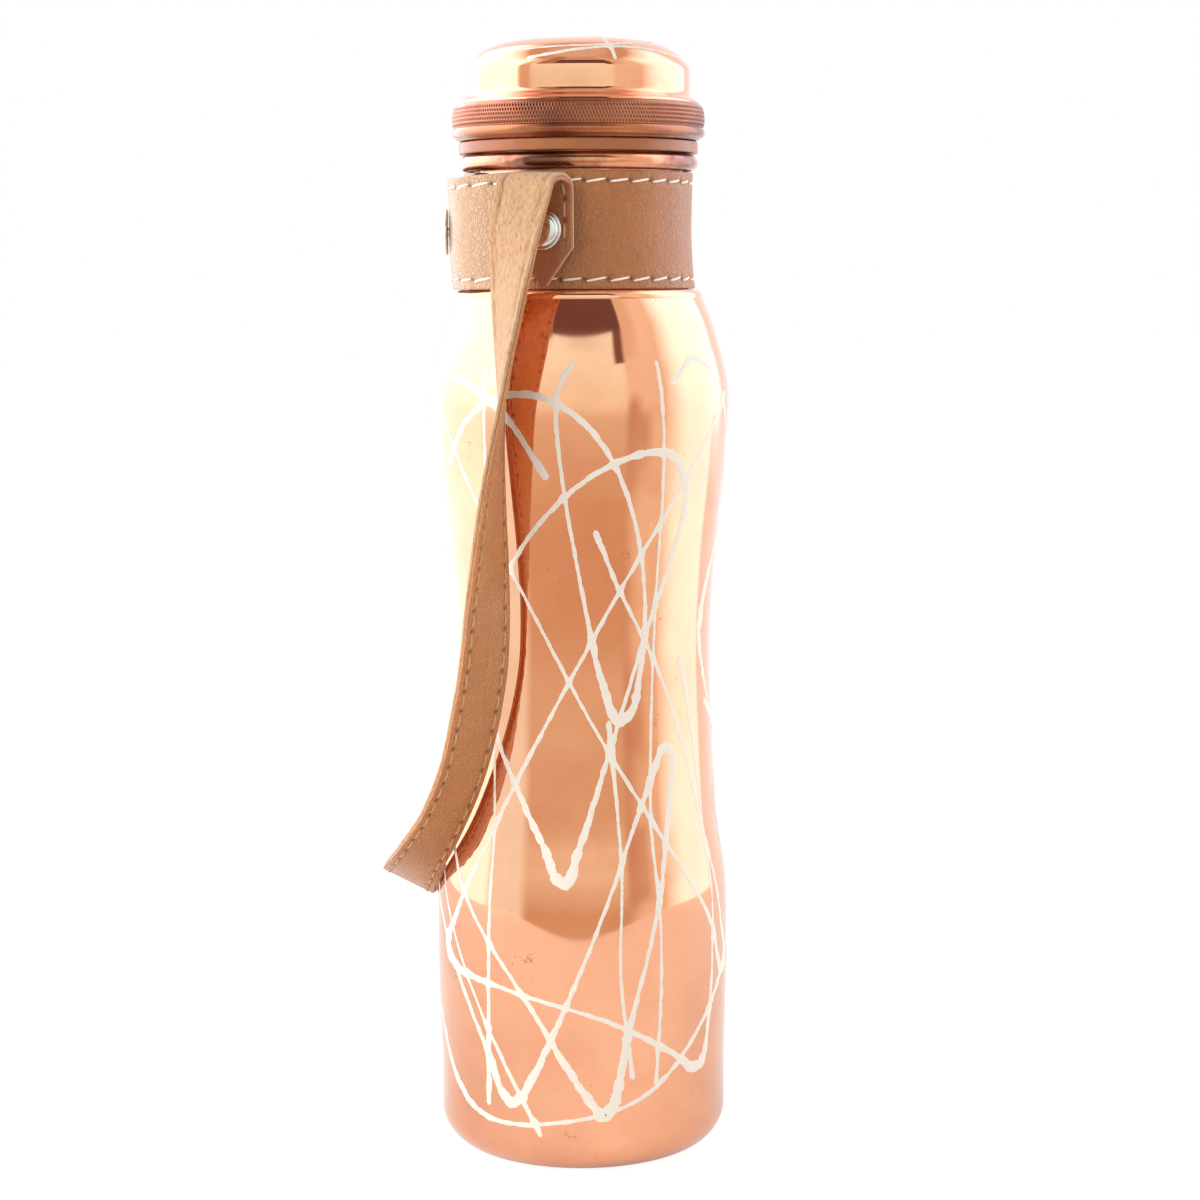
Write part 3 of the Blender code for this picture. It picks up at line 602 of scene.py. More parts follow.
# The dark patch on the bead is a painted reflection of the strap's roll, placed from the camera's side
strap_reflection_turn = view_turn - math.pi / 2 - math.radians(17)
bead_strap_reflection = about_axis(bead_radius, strap_reflection_turn, bead_bottom + bead_half)
bead_copper = copper_finish("Bare copper, tarnished, with painted reflection", "E89C74", "7A3018", 0.17, 1.1, 8 * mm, strap_reflection=bead_strap_reflection)
bead_centre = (bead_radius - bead_half, bead_bottom + bead_half)
rim_edge = 0.5 * mm
collar_outline = [
    *corner((bore_radius + rim_edge, collar_high.z - rim_edge), rim_edge, 180, 90, 5),
    *corner((root_radius - rim_edge, collar_high.z - rim_edge), rim_edge, 90, 0, 5),
    (root_radius, bead_top),
    *corner(bead_centre, bead_half, 90, -90, 20),
    (spigot_radius, bead_bottom), (spigot_radius, collar_low.z), (bore_radius, collar_low.z),
]
collar = spun(collar_outline)
finished("threaded_collar", collar, bead_copper, "bottle", ["neck_collar"], crease=28)


def screw_thread(foot_radius, crest_radius, start_height):
    """A right-hand ridge that fades in and out over its first and last sixth of a turn."""
    steps_per_turn = 96
    steps = thread_turns * steps_per_turn
    flank = ((-0.95, 0.0), (-0.78, 0.35), (-0.5, 0.9), (-0.3, 1.0))
    profile = (*flank, *[(-up, out) for up, out in flank[::-1]])
    sections = []
    for i in range(steps + 1):
        turn = 2 * math.pi * i / steps_per_turn
        fade = min(1, i / (steps_per_turn / 6), (steps - i) / (steps_per_turn / 6))
        height = start_height + lead * i / steps_per_turn
        section = []
        for up, out in profile:
            radius = foot_radius + (crest_radius - foot_radius) * out * max(fade, 0.05)
            section.append(about_axis(radius, turn, height + up * mm))
        sections.append(section)
    return lofted(sections)


ridge = screw_thread(root_radius - thread_sunk, root_radius + thread_height, thread_start)
finished("collar_thread", ridge, bead_copper, "bottle", crease=60)


# Gasket. A moulded ring of tan silicone rubber, square with softened edges, that the cap's hem
# is screwed down on.
gasket_low, gasket_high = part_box("neck_gasket")
# The mould gives it a soft sheen, dust dulls that in places, and light goes a little way in
rubber, tree, place = new_finish("Tan silicone rubber, moulded")
dust = add(tree, "TexNoise", Vector=place, Scale=420, Detail=4)
grain = add(tree, "Bump", Height=dust, Strength=0.2, Distance=0.05 * mm)
tint = painted(tree, "A25C2A", [(dust, "945024")])
shader = add(
    tree, "BsdfPrincipled", Base_Color=tint, Roughness=0.45, Normal=grain, Coat_Weight=0.5,
    Coat_Roughness=0.2, Subsurface_Weight=0.12, Subsurface_Radius=(0.8, 0.4, 0.2), Subsurface_Scale=1.0 * mm,
)
add(tree, "OutputMaterial", shader)


def soft_ring(inner, outer, low, high, edge, steps):
    """The outline of a turned ring whose two outer edges are softened."""
    return [
        (inner, high),
        *corner((outer - edge, high - edge), edge, 90, 0, steps),
        *corner((outer - edge, low + edge), edge, 0, -90, steps),
        (inner, low),
    ]


gasket_inner = root_radius + 0.3 * mm
gasket_radius = bead_radius - 0.15 * mm
gasket = spun(soft_ring(gasket_inner, gasket_radius, gasket_low.z, gasket_high.z, 0.35 * mm, 6))
finished("gasket_ring", gasket, rubber, "bottle", ["neck_gasket"])


# Leather band. Two plies of vegetable tanned cowhide, glued and sewn, bent round the neck and
# lapped over at the left, where a press stud holds them. The grain side shows, with the cut edges
# raw and paler, and each stitch has pulled a small dimple.
def leather_finish(name, light, dark, grain_size, relief, rough, tab_fold_shade=None, left_panel_sheen=None):
    """Vegetable tanned cowhide, grain side out: pebbles parted by fine wrinkles that run on the slant,
    with painted shade in the wrinkles, a lightly mottled tan, a soft waxy gloss, and painted shade
    in the needle holes."""
    made, tree, place = new_finish(name)
    slant = add(tree, "Mapping", Vector=place, Rotation=(0.5, 0.5, 0.2), Scale=(1.0, 1.0, 0.55))
    warp = add(tree, "TexNoise", Vector=slant, Scale=0.5 / grain_size, Detail=3).outputs["Color"]
    bent = add(tree, "VectorMath", warp, (1.6 * grain_size,) * 3, slant, operation="MULTIPLY_ADD")
    pebbles = add(tree, "TexVoronoi", Vector=bent, Scale=1 / grain_size, feature="DISTANCE_TO_EDGE")
    wrinkle = add(tree, "MapRange", pebbles, 0.0, 0.22, interpolation_type="SMOOTHSTEP")
    folds = add(tree, "TexNoise", Vector=slant, Scale=0.35 / grain_size, Detail=4, Roughness=0.6)
    height = add(tree, "Math", folds, 1.3, wrinkle, operation="MULTIPLY_ADD")
    bumps = add(tree, "Bump", Height=height, Strength=0.9, Distance=relief)
    mottle = add(tree, "TexNoise", Vector=place, Scale=120, Detail=5, Roughness=0.6)
    mixed = add(tree, "MapRange", mottle, 0.3, 0.75, 0.15, 0.75)
    # Painted shade in the wrinkles, where the relief is lowest
    wrinkle_shade = add(tree, "MapRange", wrinkle, 0.0, 1.0, 0.13, 0.0)
    coats = [(mixed, dark), (wrinkle_shade, "7A4526")]
    if tab_fold_shade:
        # The tabs under the fold are painted darker, as the shadow that the fold casts on them
        parts = add(tree, "SeparateXYZ", place).outputs
        off_axis = add(tree, "Math", parts["Y"], operation="ABSOLUTE")
        near = add(tree, "MapRange", off_axis, 32.6 * mm, 33.4 * mm, 1.0, 0.0)
        high = add(tree, "MapRange", parts["Z"], 205 * mm, 212 * mm)
        coats.append((add(tree, "Math", near, high, operation="MULTIPLY"), tab_fold_shade))
    if left_panel_sheen:
        # Towards the camera's left, where the left panel shines on it, the hide is painted paler: a painted
        # sheen
        towards = add(tree, "VectorMath", place, -to_right, operation="DOT_PRODUCT")
        coats.append((add(tree, "MapRange", towards, 8 * mm, 20 * mm), left_panel_sheen))
    # Painted shade in the needle holes
    coats.append((add(tree, "Attribute", attribute_name="hole").outputs["Fac"], "4A2410"))
    shader = add(
        tree, "BsdfPrincipled", Base_Color=painted(tree, light, coats), Roughness=rough, Normal=bumps,
        Specular_IOR_Level=0.3, Coat_Weight=0.5, Coat_Roughness=0.25, Sheen_Weight=0.3, Sheen_Roughness=0.3,
    )
    add(tree, "OutputMaterial", shader)
    return made


def flesh_finish(name, light, dark):
    """The flesh side and cut edge of the hide: pale, dry and fibrous, shaved to a short nap, with
    shallow wrinkles on the slant, painted shade in their folds and in the needle holes, and a line
    that is darker in patches where the seam has drawn it in."""
    made, tree, place = new_finish(name)
    # Fibres lie mostly along the strap; they are drawn 0.7 mm thick and 2 mm long, coarser than real
    lay = add(tree, "Mapping", Vector=place, Scale=(1, 1, 0.3))
    fibres = add(tree, "TexNoise", Vector=lay, Scale=1500, Detail=5, Roughness=0.7)
    slant = add(tree, "Mapping", Vector=place, Rotation=(0.9, 0.9, 0.3), Scale=(1.0, 1.0, 0.5))
    wrinkles = add(tree, "TexNoise", Vector=slant, Scale=1200, Detail=3)
    patches = add(tree, "TexNoise", Vector=place, Scale=200, Detail=4)
    amount = add(tree, "MapRange", fibres, 0.3, 0.75, 0.3, 1.0)
    cloudy = add(tree, "MapRange", patches, 0.5, 0.78, 0.0, 0.4)
    # Painted shade in the folds of the wrinkles
    flesh_fold_shade = add(tree, "MapRange", wrinkles, 0.34, 0.47, 0.6, 0.0)
    # The hole layer holds painted shade in the needle holes, and the seam's patchy darker line
    hole = add(tree, "Attribute", attribute_name="hole").outputs["Fac"]
    coats = [(amount, light), (cloudy, dark), (flesh_fold_shade, "A8703E"), (hole, "8A5424")]
    height = add(tree, "Math", wrinkles, 2.2, fibres, operation="MULTIPLY_ADD")
    nap = add(tree, "Bump", Height=height, Strength=0.9, Distance=0.24 * mm)
    shader = add(
        tree, "BsdfPrincipled", Base_Color=painted(tree, dark, coats), Roughness=0.8, Normal=nap,
        Sheen_Weight=0.3, Sheen_Roughness=0.6,
    )
    add(tree, "OutputMaterial", shader)
    return made


# The band is painted paler towards the camera's left: a painted sheen of the left panel
band_leather = leather_finish(
    "Cowhide, vegetable tanned, waxed grain", "C07A44", "A86434", 0.70 * mm, 0.24 * mm, 0.46, left_panel_sheen="C8A07C"
)
flesh_leather = flesh_finish("Cowhide, flesh side", "D0A880", "AE8058")

ply = 0.9 * mm
band_height = band_high.z - band_low.z
band_top_radius = 28.1 * mm
band_waist_radius = 27.7 * mm
band_foot_radius = 28.6 * mm
ends_rise = 4.1 * mm
foot_rise_share = 0.6
lap_droop = 0.045
closure_turn = math.radians(195)
lap_turn = math.radians(27)
ramp_start = math.radians(322)
ramp_end = math.radians(364)
band_travel = 2 * math.pi + 2 * lap_turn
band_seam_inset = 2.4 * mm
band_stitch_pitch = 5.65 * mm
seam_start = math.radians(58)
seam_end = band_travel - math.radians(2)
stitches_in_band = round((seam_end - seam_start) * band_waist_radius / band_stitch_pitch)
band_stitch_turn = (seam_end - seam_start) / stitches_in_band


def band_point(travel, height_share, out=0.0):
    """A point of the band's outer face, where travel is the turn from its inner end, clockwise."""
    from_middle = 2 * height_share - 1
    edge_radius = band_top_radius if from_middle > 0 else band_foot_radius
    radius = band_waist_radius + (edge_radius - band_waist_radius) * from_middle**2
    ramp = min(max((travel - ramp_start) / (ramp_end - ramp_start), 0), 1)
    rise_share = 1 - (1 - foot_rise_share) * max(-from_middle, 0) ** 2
    reach = radius + ends_rise * rise_share * ramp**2 * (3 - 2 * ramp) + out
    turn = closure_turn + lap_turn - travel
    height = band_height * height_share * (1 - lap_droop * ramp)
    return about_axis(reach, turn, band_low.z + height)


channel_reach, channel_depth = 0.75 * mm, 0.10 * mm
pit_reach, pit_depth = 0.55 * mm, 0.30 * mm
hole_reach = 0.5 * mm


def stitch_pull(along, across, seam, pitch):
    """How far the leather is drawn in at a place: a shallow channel with a pit at each needle hole."""
    off = (across - seam) / channel_reach
    phase = along / pitch % 1
    pit_gap = min(phase, 1 - phase) * pitch / pit_reach
    return math.exp(-(off**2)) * (channel_depth + pit_depth * math.exp(-(pit_gap**2)))


def needle_hole(along, across, seam, pitch):
    """How far a place lies in a needle hole, from 0 to 1."""
    phase = along / pitch % 1
    gap = math.hypot(min(phase, 1 - phase) * pitch, across - seam)
    return math.exp(-((gap / hole_reach) ** 2))


def band_ply(outer, inner, rounding, sewn):
    """One ply of the band, in sections across its height from its inner end to its outer end."""
    steps, columns = 620, 42
    sections, marks = [], []
    for i in range(steps + 1):
        travel = band_travel * i / steps
        end_gap = min(i, steps - i) / steps * band_travel * band_waist_radius
        along = (travel - seam_start) / band_stitch_turn * band_stitch_pitch
        in_seam = sewn and 0 < along < stitches_in_band * band_stitch_pitch
        section, holes = [], []
        for level, sense in ((outer, 1), (inner, -1)):
            for k in range(columns + 1)[::sense]:
                share = 0.5 - math.cos(math.pi * k / columns) / 2
                edge_gap = band_height * min(share, 1 - share)
                risen = rounded(edge_gap / rounding, end_gap / rounding)
                out = level - sense * rounding * (1 - risen)
                hole = 0.0
                if in_seam and sense > 0:
                    seam = (along, edge_gap, band_seam_inset, band_stitch_pitch)
                    out -= stitch_pull(*seam)
                    hole = needle_hole(*seam)
                section.append(band_point(travel, share, out))
                holes.append(hole)
        sections.append(section)
        marks.append(holes)
    return lofted(sections, marks)


grain_ply = band_ply(outer=0.0, inner=-ply - 0.1 * mm, rounding=0.32 * mm, sewn=True)
finished("band_grain_ply", grain_ply, band_leather, "bottle", ["band_outer"], crease=50)
lining = band_ply(outer=-ply - 0.14 * mm, inner=-2 * ply - 0.3 * mm, rounding=0.2 * mm, sewn=False)
finished("band_flesh_ply", lining, flesh_leather, "bottle", ["band_lining"], crease=50)


# Band stitches. White waxed linen thread, hand sewn with a slanting awl, so each stitch lies
# about ten degrees off its row, and its ends go down into the needle holes.
def thread_finish(name, light, dark):
    """Waxed linen thread, three strands twisted; the twist is drawn at 0.7 mm, coarser than real."""
    made, tree, place = new_finish(name)
    strands = add(tree, "TexNoise", Vector=place, Scale=1400, Detail=3)
    twist = add(tree, "Bump", Height=strands, Strength=0.6, Distance=0.08 * mm)
    tone = painted(tree, dark, [(strands, light)])
    shader = add(tree, "BsdfPrincipled", Base_Color=tone, Roughness=0.6, Normal=twist)
    add(tree, "OutputMaterial", shader)
    return made


white_thread = thread_finish("White waxed linen thread", "FFFBF4", "E9DFD0")


def sew(bm, start, end, up, thickness, rise):
    """One stitch: a rounded length of thread from hole to hole, highest at its middle."""
    made = bmesh.ops.create_uvsphere(bm, u_segments=10, v_segments=6, radius=1)["verts"]
    half = (end - start) / 2
    side = up.cross(half).normalized()
    middle = (start + end) / 2
    for vert in made:
        along = vert.co.z
        flat = math.sqrt(max(1 - along**2, 1e-9))
        fuller = math.sqrt(max(1 - along**4, 0)) / flat
        arch = rise * (1 - along**2) + vert.co.y * fuller * thickness * 0.8
        vert.co = middle + half * along + side * vert.co.x * fuller * thickness + up * arch


slant = math.radians(9)
thread_radius, stitch_rise, stitch_sunk = 0.29 * mm, 0.40 * mm, 0.2 * mm
for name, share in (("upper", 1 - band_seam_inset / band_height), ("lower", band_seam_inset / band_height)):
    bm = bmesh.new()
    for i in range(stitches_in_band):
        ends = []
        uneven = noise.noise(Vector((i * 0.77, share * 9, 0)))
        for side in (-1, 1):
            travel = seam_start + band_stitch_turn * (i + 0.5 + side * (0.42 + 0.05 * uneven))
            tilt = -side * 0.4 * band_stitch_pitch * math.tan(slant * (1 + 0.9 * uneven)) / band_height
            ends.append(band_point(travel, share + tilt, -stitch_sunk))
        up = ((ends[0] + ends[1]) * Vector((1, 1, 0))).normalized()
        sew(bm, *ends, up, thread_radius, stitch_rise)
    node = f"band_thread_{name}"
    finished(f"band_stitches_{name}", bm, white_thread, "bottle", [node], crease=70)


# Press stud. Four pieces of nickel-plated brass: the domed cap and its ring on the outer end of
# the band, and the knob and its post on the inner end.
# Nickel mirrors without a colour of its own; fine scuffs blur it in places
nickel, tree, place = new_finish("Nickel plate, polished")
scuffs = add(tree, "TexNoise", Vector=place, Scale=700, Detail=5, Roughness=0.7)
gloss = add(tree, "MapRange", scuffs, 0.35, 0.75, 0.10, 0.26)
tint = painted(tree, "E4E0DA", [(scuffs, "CFCAC4")])
shader = add(tree, "BsdfPrincipled", Base_Color=tint, Metallic=1.0, Roughness=gloss)
add(tree, "OutputMaterial", shader)
for node in ("snap_socket", "snap_stud", "snap_post", "rivet_post_front", "rivet_post_rear"):
    inner_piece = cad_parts[node]
    inner_piece.data.materials.clear()
    inner_piece.data.materials.append(nickel)

pivot_height = (band_low.z + band_high.z) / 2
stud_radius = 5.7 * mm
stud_under = band_waist_radius + ends_rise + 0.3 * mm
stud_edge = 0.35 * mm
stud_pin, stud_pin_length = 1.2 * mm, 2.2 * mm
stud_outline = [
    *[(out * mm, stud_under + up * mm) for out, up in ((0, 1.0), (2.4, 0.96), (4.2, 0.72))],
    *corner((stud_radius - stud_edge, stud_under + stud_edge), stud_edge, 60, -90, 8),
    (stud_pin, stud_under), (stud_pin, stud_under - stud_pin_length), (0, stud_under - stud_pin_length),
]
stud = spun(stud_outline, closed=False, turns=64)
stud_stand = (
    Matrix.Translation((0, 0, pivot_height))
    @ Matrix.Rotation(closure_turn, 4, "Z")
    @ Matrix.Rotation(math.pi / 2, 4, "Y")
)
bmesh.ops.transform(stud, matrix=stud_stand, verts=stud.verts)
finished("stud_cap", stud, nickel, "bottle", ["snap_cap"])


# Rivets. Domed nickel caps with a rolled rim, through the two ends of the loop and the band, each
# over a washer that holds the leather off the band so that the loop can swing.
rivet_rim = 0.40 * mm
washer_bore = 1.9 * mm
dome_shares = ((0, 1.0), (0.30, 0.99), (0.52, 0.955), (0.68, 0.89), (0.78, 0.79), (0.83, 0.66), (0.85, 0.52))
for side, sense in (("front", -1), ("rear", 1)):
    stand = Matrix.Translation((0, 0, pivot_height)) @ Matrix.Rotation(-sense * math.pi / 2, 4, "X")
    low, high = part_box(f"rivet_cap_{side}")
    base, top = sorted((abs(low.y), abs(high.y)))
    radius = (high.x - low.x) / 2
    outline = [
        *[(radius * out, base + (top - base) * up) for out, up in dome_shares],
        *corner((radius - rivet_rim, base + rivet_rim), rivet_rim, 120, -90, 12),
        (0, base),
    ]
    dome = spun(outline, closed=False, turns=72)
    bmesh.ops.transform(dome, matrix=stand, verts=dome.verts)
    finished(f"rivet_dome_{side}", dome, nickel, "bottle", [f"rivet_cap_{side}"], crease=60)
    low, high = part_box(f"rivet_spacer_{side}")
    inner, outer = sorted((abs(low.y), abs(high.y)))
    washer = spun(soft_ring(washer_bore, (high.x - low.x) / 2, inner, outer, 0.3 * mm, 4), turns=64)
    bmesh.ops.transform(washer, matrix=stand, verts=washer.verts)
    finished(f"rivet_washer_{side}", washer, nickel, "bottle", [f"rivet_spacer_{side}"])


# Cap. Pressed copper: a domed lid whose wall steps out to a ring, and a rolled hem below. The ring
# is knurled by a five-row wheel, so it is rough; it is drawn darker than the polished lid, with
# painted shade in its grooves.
cap_low, cap_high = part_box("cap_shell")
cap_bottom = cap_low.z
crown_points = (
    (0.001, 274.98), (6.0, 274.95), (12.0, 274.75), (16.0, 274.4), (19.5, 273.75), (22.4, 272.6),
    (24.6, 271.1), (26.2, 269.4), (27.1, 268.15), (27.43, 267.45), (27.5, 266.8), (27.5, 263.8),
)
step_points = ((27.48, 262.8), (27.55, 261.7), (28.1, 260.8), (29.0, 260.1), (29.6, 259.6), (29.85, 259.1))
hem_radius = 1.45 * mm
hem_centre = (30.98 * mm - hem_radius, cap_bottom + hem_radius + 0.50 * mm)
knurl_low = cap_bottom + 3.1 * mm
knurl_high = cap_bottom + 8.7 * mm
crown_outline = outline_of(crown_points, 0.7 * mm)
# Under the knurl, and from the foot of the hem up the inside: radii, and heights above the foot
under_knurl = ((29.7, 8.6), (29.9, 7.3), (30.2, 4.1), (30.4, 3.3))
hem_points = (
    (29.6, 0.2), (29.3, 0.0), (28.8, 0.0), (28.8, 1.4), (29.5, 2.2), (29.5, 8.0), (28.4, 9.2), (26.6, 10.0),
)
cap_outline = [
    *crown_outline,
    *outline_of(step_points, 0.35 * mm),
    *[(radius * mm, cap_bottom + up * mm) for radius, up in under_knurl],
    *corner(hem_centre, hem_radius, 50, -75, 14),
    *[(radius * mm, cap_bottom + up * mm) for radius, up in hem_points],
    *[point for point in inset(crown_outline[::3], copper_wall) if point.x > 0.4 * mm],
    (0, cap_high.z - copper_wall),
]
cap_copper = copper_finish("Polished copper, handled", "F6AE86", "D98A60", 0.08, 0.6)
cap_shape = spun(cap_outline, closed=False)
lid = finished("cap_lid", cap_shape, cap_copper, "cap", ["cap_shell"], crease=30)
# Below the middle of the knurl, the hem is drawn in a darker, duller copper
hem_copper = copper_finish("Copper, darker and duller", "BE7042", "76341A", 0.30, 1.0)
lid.data.materials.append(hem_copper)
for face in lid.data.polygons:
    if face.center.z < (knurl_low + knurl_high) / 2:
        face.material_index = 1

# The wheel's rows of slanting dashes take the lower part of the ring, and its top is left plain.
# Painted shade follows the depth of the dashes, and a little lies on the plain top as well
dashes = 245
columns_per_dash = 6
dash_slant = 0.35
knurl_rows = 5
levels_per_row = 5
knurl_depth = 0.27 * mm
knurl_swell = (
    (0.0, 30.55), (0.10, 30.82), (0.30, 30.95), (0.55, 30.88), (0.75, 30.66), (0.90, 30.35), (1.0, 29.9),
)
knurl_shares, knurl_radii = np.array(knurl_swell).T
knurled_share = 0.86
plain_rows = 4
# The plain top rows get a little painted shade, which dulls their highlight
plain_rows_shade = 0.3
inner_radius = 29.6 * mm
sections, knurl_shades = [], []
for i in range(dashes * columns_per_dash + 1):
    turn = 2 * math.pi * i / (dashes * columns_per_dash)
    rim, rim_knurl_shades = [], []
    for k in range(knurl_rows * levels_per_row + plain_rows):
        row, level = divmod(k, levels_per_row)
        share = level / levels_per_row
        phase = (i / columns_per_dash + dash_slant * share + 0.5 * (row % 2)) % 1
        notch = math.cos(2 * math.pi * phase) * 0.5 + 0.5
        depth = notch * math.sin(math.pi * share) ** 0.6 if level and row < knurl_rows else 0.0
        up_share = knurled_share * k / (knurl_rows * levels_per_row)
        if row >= knurl_rows:
            up_share = knurled_share + (1 - knurled_share) * level / (plain_rows - 1)
        radius = float(np.interp(up_share, knurl_shares, knurl_radii)) * mm - knurl_depth * depth
        rim.append((radius, knurl_low + (knurl_high - knurl_low) * up_share))
        rim_knurl_shades.append(depth if row < knurl_rows else plain_rows_shade)
    rim += [(inner_radius, knurl_high), (inner_radius, knurl_low)]
    sections.append([about_axis(radius, turn, height) for radius, height in rim])
    knurl_shades.append([*rim_knurl_shades, 0.0, 0.0])
knurl_copper = copper_finish("Copper, knurled", "C07046", "863E20", 0.22, 1.0, shade_grooves=True)
finished("cap_knurl", lofted(sections, knurl_shades, "groove_shade"), knurl_copper, "cap", crease=60)

cap_surface = Surface(crown_outline)
cap_lines = []
# Each line in millimetres to the camera's right of the axis and towards it, and of width
for points in (
    ((-27.0, -2, 0.9), (-24.5, 9, 0.8), (-17, 18.5, 0.75), (-6, 23.4, 0.7), (6, 22.8, 0.7), (15, 16, 0.8),
     (18, 6, 0.8), (14, -6, 0.8), (4, -16, 1.0)),
    ((9, 25.6, 0.9), (6, 19, 0.8), (0, 8, 0.7), (-8, -6, 0.7), (-18, -19, 1.0)),
    ((26.6, 4, 0.9), (20.5, 14.5, 0.7), (9, 22.5, 0.65), (-4, 25.4, 0.8), (-12, 24.0, 1.2)),
):
    waypoints = []
    for rightwards, forwards, width in points:
        radius = math.hypot(rightwards, forwards) * mm
        spot = to_right * rightwards + to_camera * forwards
        turn = math.atan2(spot.y, spot.x)
        way = float(np.interp(radius, cap_surface.radius, cap_surface.way))
        waypoints.append(about_axis(way, turn, width * mm))
    line = smooth_line(waypoints, 0.5 * mm)
    cap_lines.append([(math.atan2(spot.y, spot.x), math.hypot(spot.x, spot.y), spot.z) for spot in line])
bm = bmesh.new()
for number, (line, widths) in enumerate(zip(cap_lines, web_widths(cap_lines, cap_surface))):
    dribble(bm, line, widths, cap_surface, 60 + number * 3.7)
finished("cap_enamel", bm, enamel, "cap", crease=60)


# Thread sleeve and seal. A turned brass sleeve inside the cap carries the female thread, and a
# white silicone disc above it closes the mouth.
# The lathe's tool has left fine rings, which draw the light out
brass, tree, place = new_finish("Brass, turned")
flow = add(tree, "Mapping", Vector=place, Scale=(0.1, 0.1, 1))
tool_marks = add(tree, "TexNoise", Vector=flow, Scale=2500, Detail=2)
cut = add(tree, "Bump", Height=tool_marks, Strength=0.3, Distance=0.03 * mm)
shader = add(
    tree, "BsdfPrincipled", Base_Color=colour("D9B26A"), Metallic=1.0, Roughness=0.28, Normal=cut
)
add(tree, "OutputMaterial", shader)
sleeve_low, sleeve_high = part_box("cap_thread_sleeve")
sleeve_bore = 25.4 * mm
sleeve_outer = 26.3 * mm
flange_radius = (sleeve_high.x - sleeve_low.x) / 2
flange_top = sleeve_low.z + 1.1 * mm
sleeve_outline = [
    (sleeve_bore, sleeve_high.z), (sleeve_outer, sleeve_high.z), (sleeve_outer, flange_top),
    (flange_radius, flange_top), (flange_radius, sleeve_low.z), (sleeve_bore, sleeve_low.z),
]
finished("cap_sleeve", spun(sleeve_outline, turns=160), brass, "cap", ["cap_thread_sleeve"])
ridge = screw_thread(sleeve_bore + thread_sunk, sleeve_bore - thread_height, thread_start + lead / 2)
finished("cap_thread", ridge, brass, "cap", crease=60)

# Milky, because light goes a little way in, with a soft sheen
silicone = bpy.data.materials.new("White silicone, moulded")
tree = new_tree(silicone)
shader = add(
    tree, "BsdfPrincipled", Base_Color=colour("E9E6DF"), Roughness=0.5, Subsurface_Weight=0.2,
    Subsurface_Radius=(1.0, 0.9, 0.8), Subsurface_Scale=1.0 * mm,
)
add(tree, "OutputMaterial", shader)
seal_low, seal_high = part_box("cap_seal_disc")
seal_radius = (seal_high.x - seal_low.x) / 2
seal = spun(soft_ring(0, seal_radius, seal_low.z, seal_high.z, 0.4 * mm, 4), closed=False, turns=128)
finished("seal_disc", seal, silicone, "seal", ["cap_seal_disc"])


# Carrying loop. Two plies of the same hide, glued flesh to flesh and sewn along both edges. Each
# end is cut to a point, riveted, folded over the rivet and hangs, half turned, round the bottle.
strap_width = 14.2 * mm
strap_ply = 1.0 * mm
strap_gap = 0.3 * mm
strap_tip_length = 9.2 * mm
strap_tip_width = 1.0 * mm
strap_tip_drop = 13.3 * mm
strap_roll_radius = 2.95 * mm
strap_roll_height = 9.4 * mm
strap_roll_shift = 3.0 * mm
tab_inner = 29.8 * mm
tab_middle = tab_inner + strap_ply + strap_gap / 2
leg_spread = 44.05 * mm
loop_tip_angle = math.radians(28)
shoulder_radius = 37.05 * mm
loop_clearance = 1.4 * mm
loop_reach = shoulder_radius + loop_clearance + strap_width / 2 * math.cos(loop_tip_angle)
loop_drop = 163.6 * mm
# Half of the loop from its roll to the middle of its bend: shares of the reach, the spread and
# the drop, and of the half turn and the tip that the strap has made there
leg_route_shares = (
    (0.100, 0.890, 0.000, 0.110, 0.00),
    (0.125, 0.930, 0.085, 0.230, 0.00),
    (0.142, 0.965, 0.170, 0.330, 0.00),
    (0.157, 0.990, 0.250, 0.410, 0.00),
    (0.185, 1.000, 0.320, 0.465, 0.00),
    (0.209, 1.000, 0.395, 0.527, 0.00),
    (0.230, 0.982, 0.470, 0.589, 0.01),
    (0.253, 0.961, 0.550, 0.652, 0.05),
    (0.285, 0.935, 0.630, 0.686, 0.13),
    (0.348, 0.897, 0.710, 0.694, 0.26),
    (0.439, 0.840, 0.790, 0.674, 0.42),
    (0.588, 0.740, 0.870, 0.673, 0.64),
    (0.782, 0.553, 0.940, 0.734, 0.84),
    (0.934, 0.280, 0.985, 0.872, 0.95),
    (1.000, 0.000, 1.000, 1.000, 1.00),
)
pivot = Vector((0, 0, pivot_height))


def leg_rows():
    """(place, turn, tip) for the front half of the loop, from the tab's tip to its middle."""
    rows = []
    for height in (-strap_tip_drop, -strap_tip_drop + strap_tip_length, strap_roll_height / 2):
        rows.append((pivot + Vector((0, -tab_middle, height)), 0.0, 0.0))
    roll_steps = 8
    for i in range(roll_steps + 1):
        angle = math.pi * i / roll_steps
        gone = (1 - math.cos(angle)) / 2
        out = tab_middle + 2 * strap_roll_radius * gone
        up = strap_roll_height + strap_roll_radius * math.sin(angle)
        place = Vector((-strap_roll_shift * gone, -out, up))
        rows.append((pivot + place, math.pi * leg_route_shares[0][3] * i / roll_steps / 2, 0.0))
    for reach, spread, drop, turn, tip in leg_route_shares:
        place = Vector((-loop_reach * reach, -leg_spread * spread, -loop_drop * drop))
        rows.append((pivot + place, math.pi * turn, loop_tip_angle * tip))
    return rows


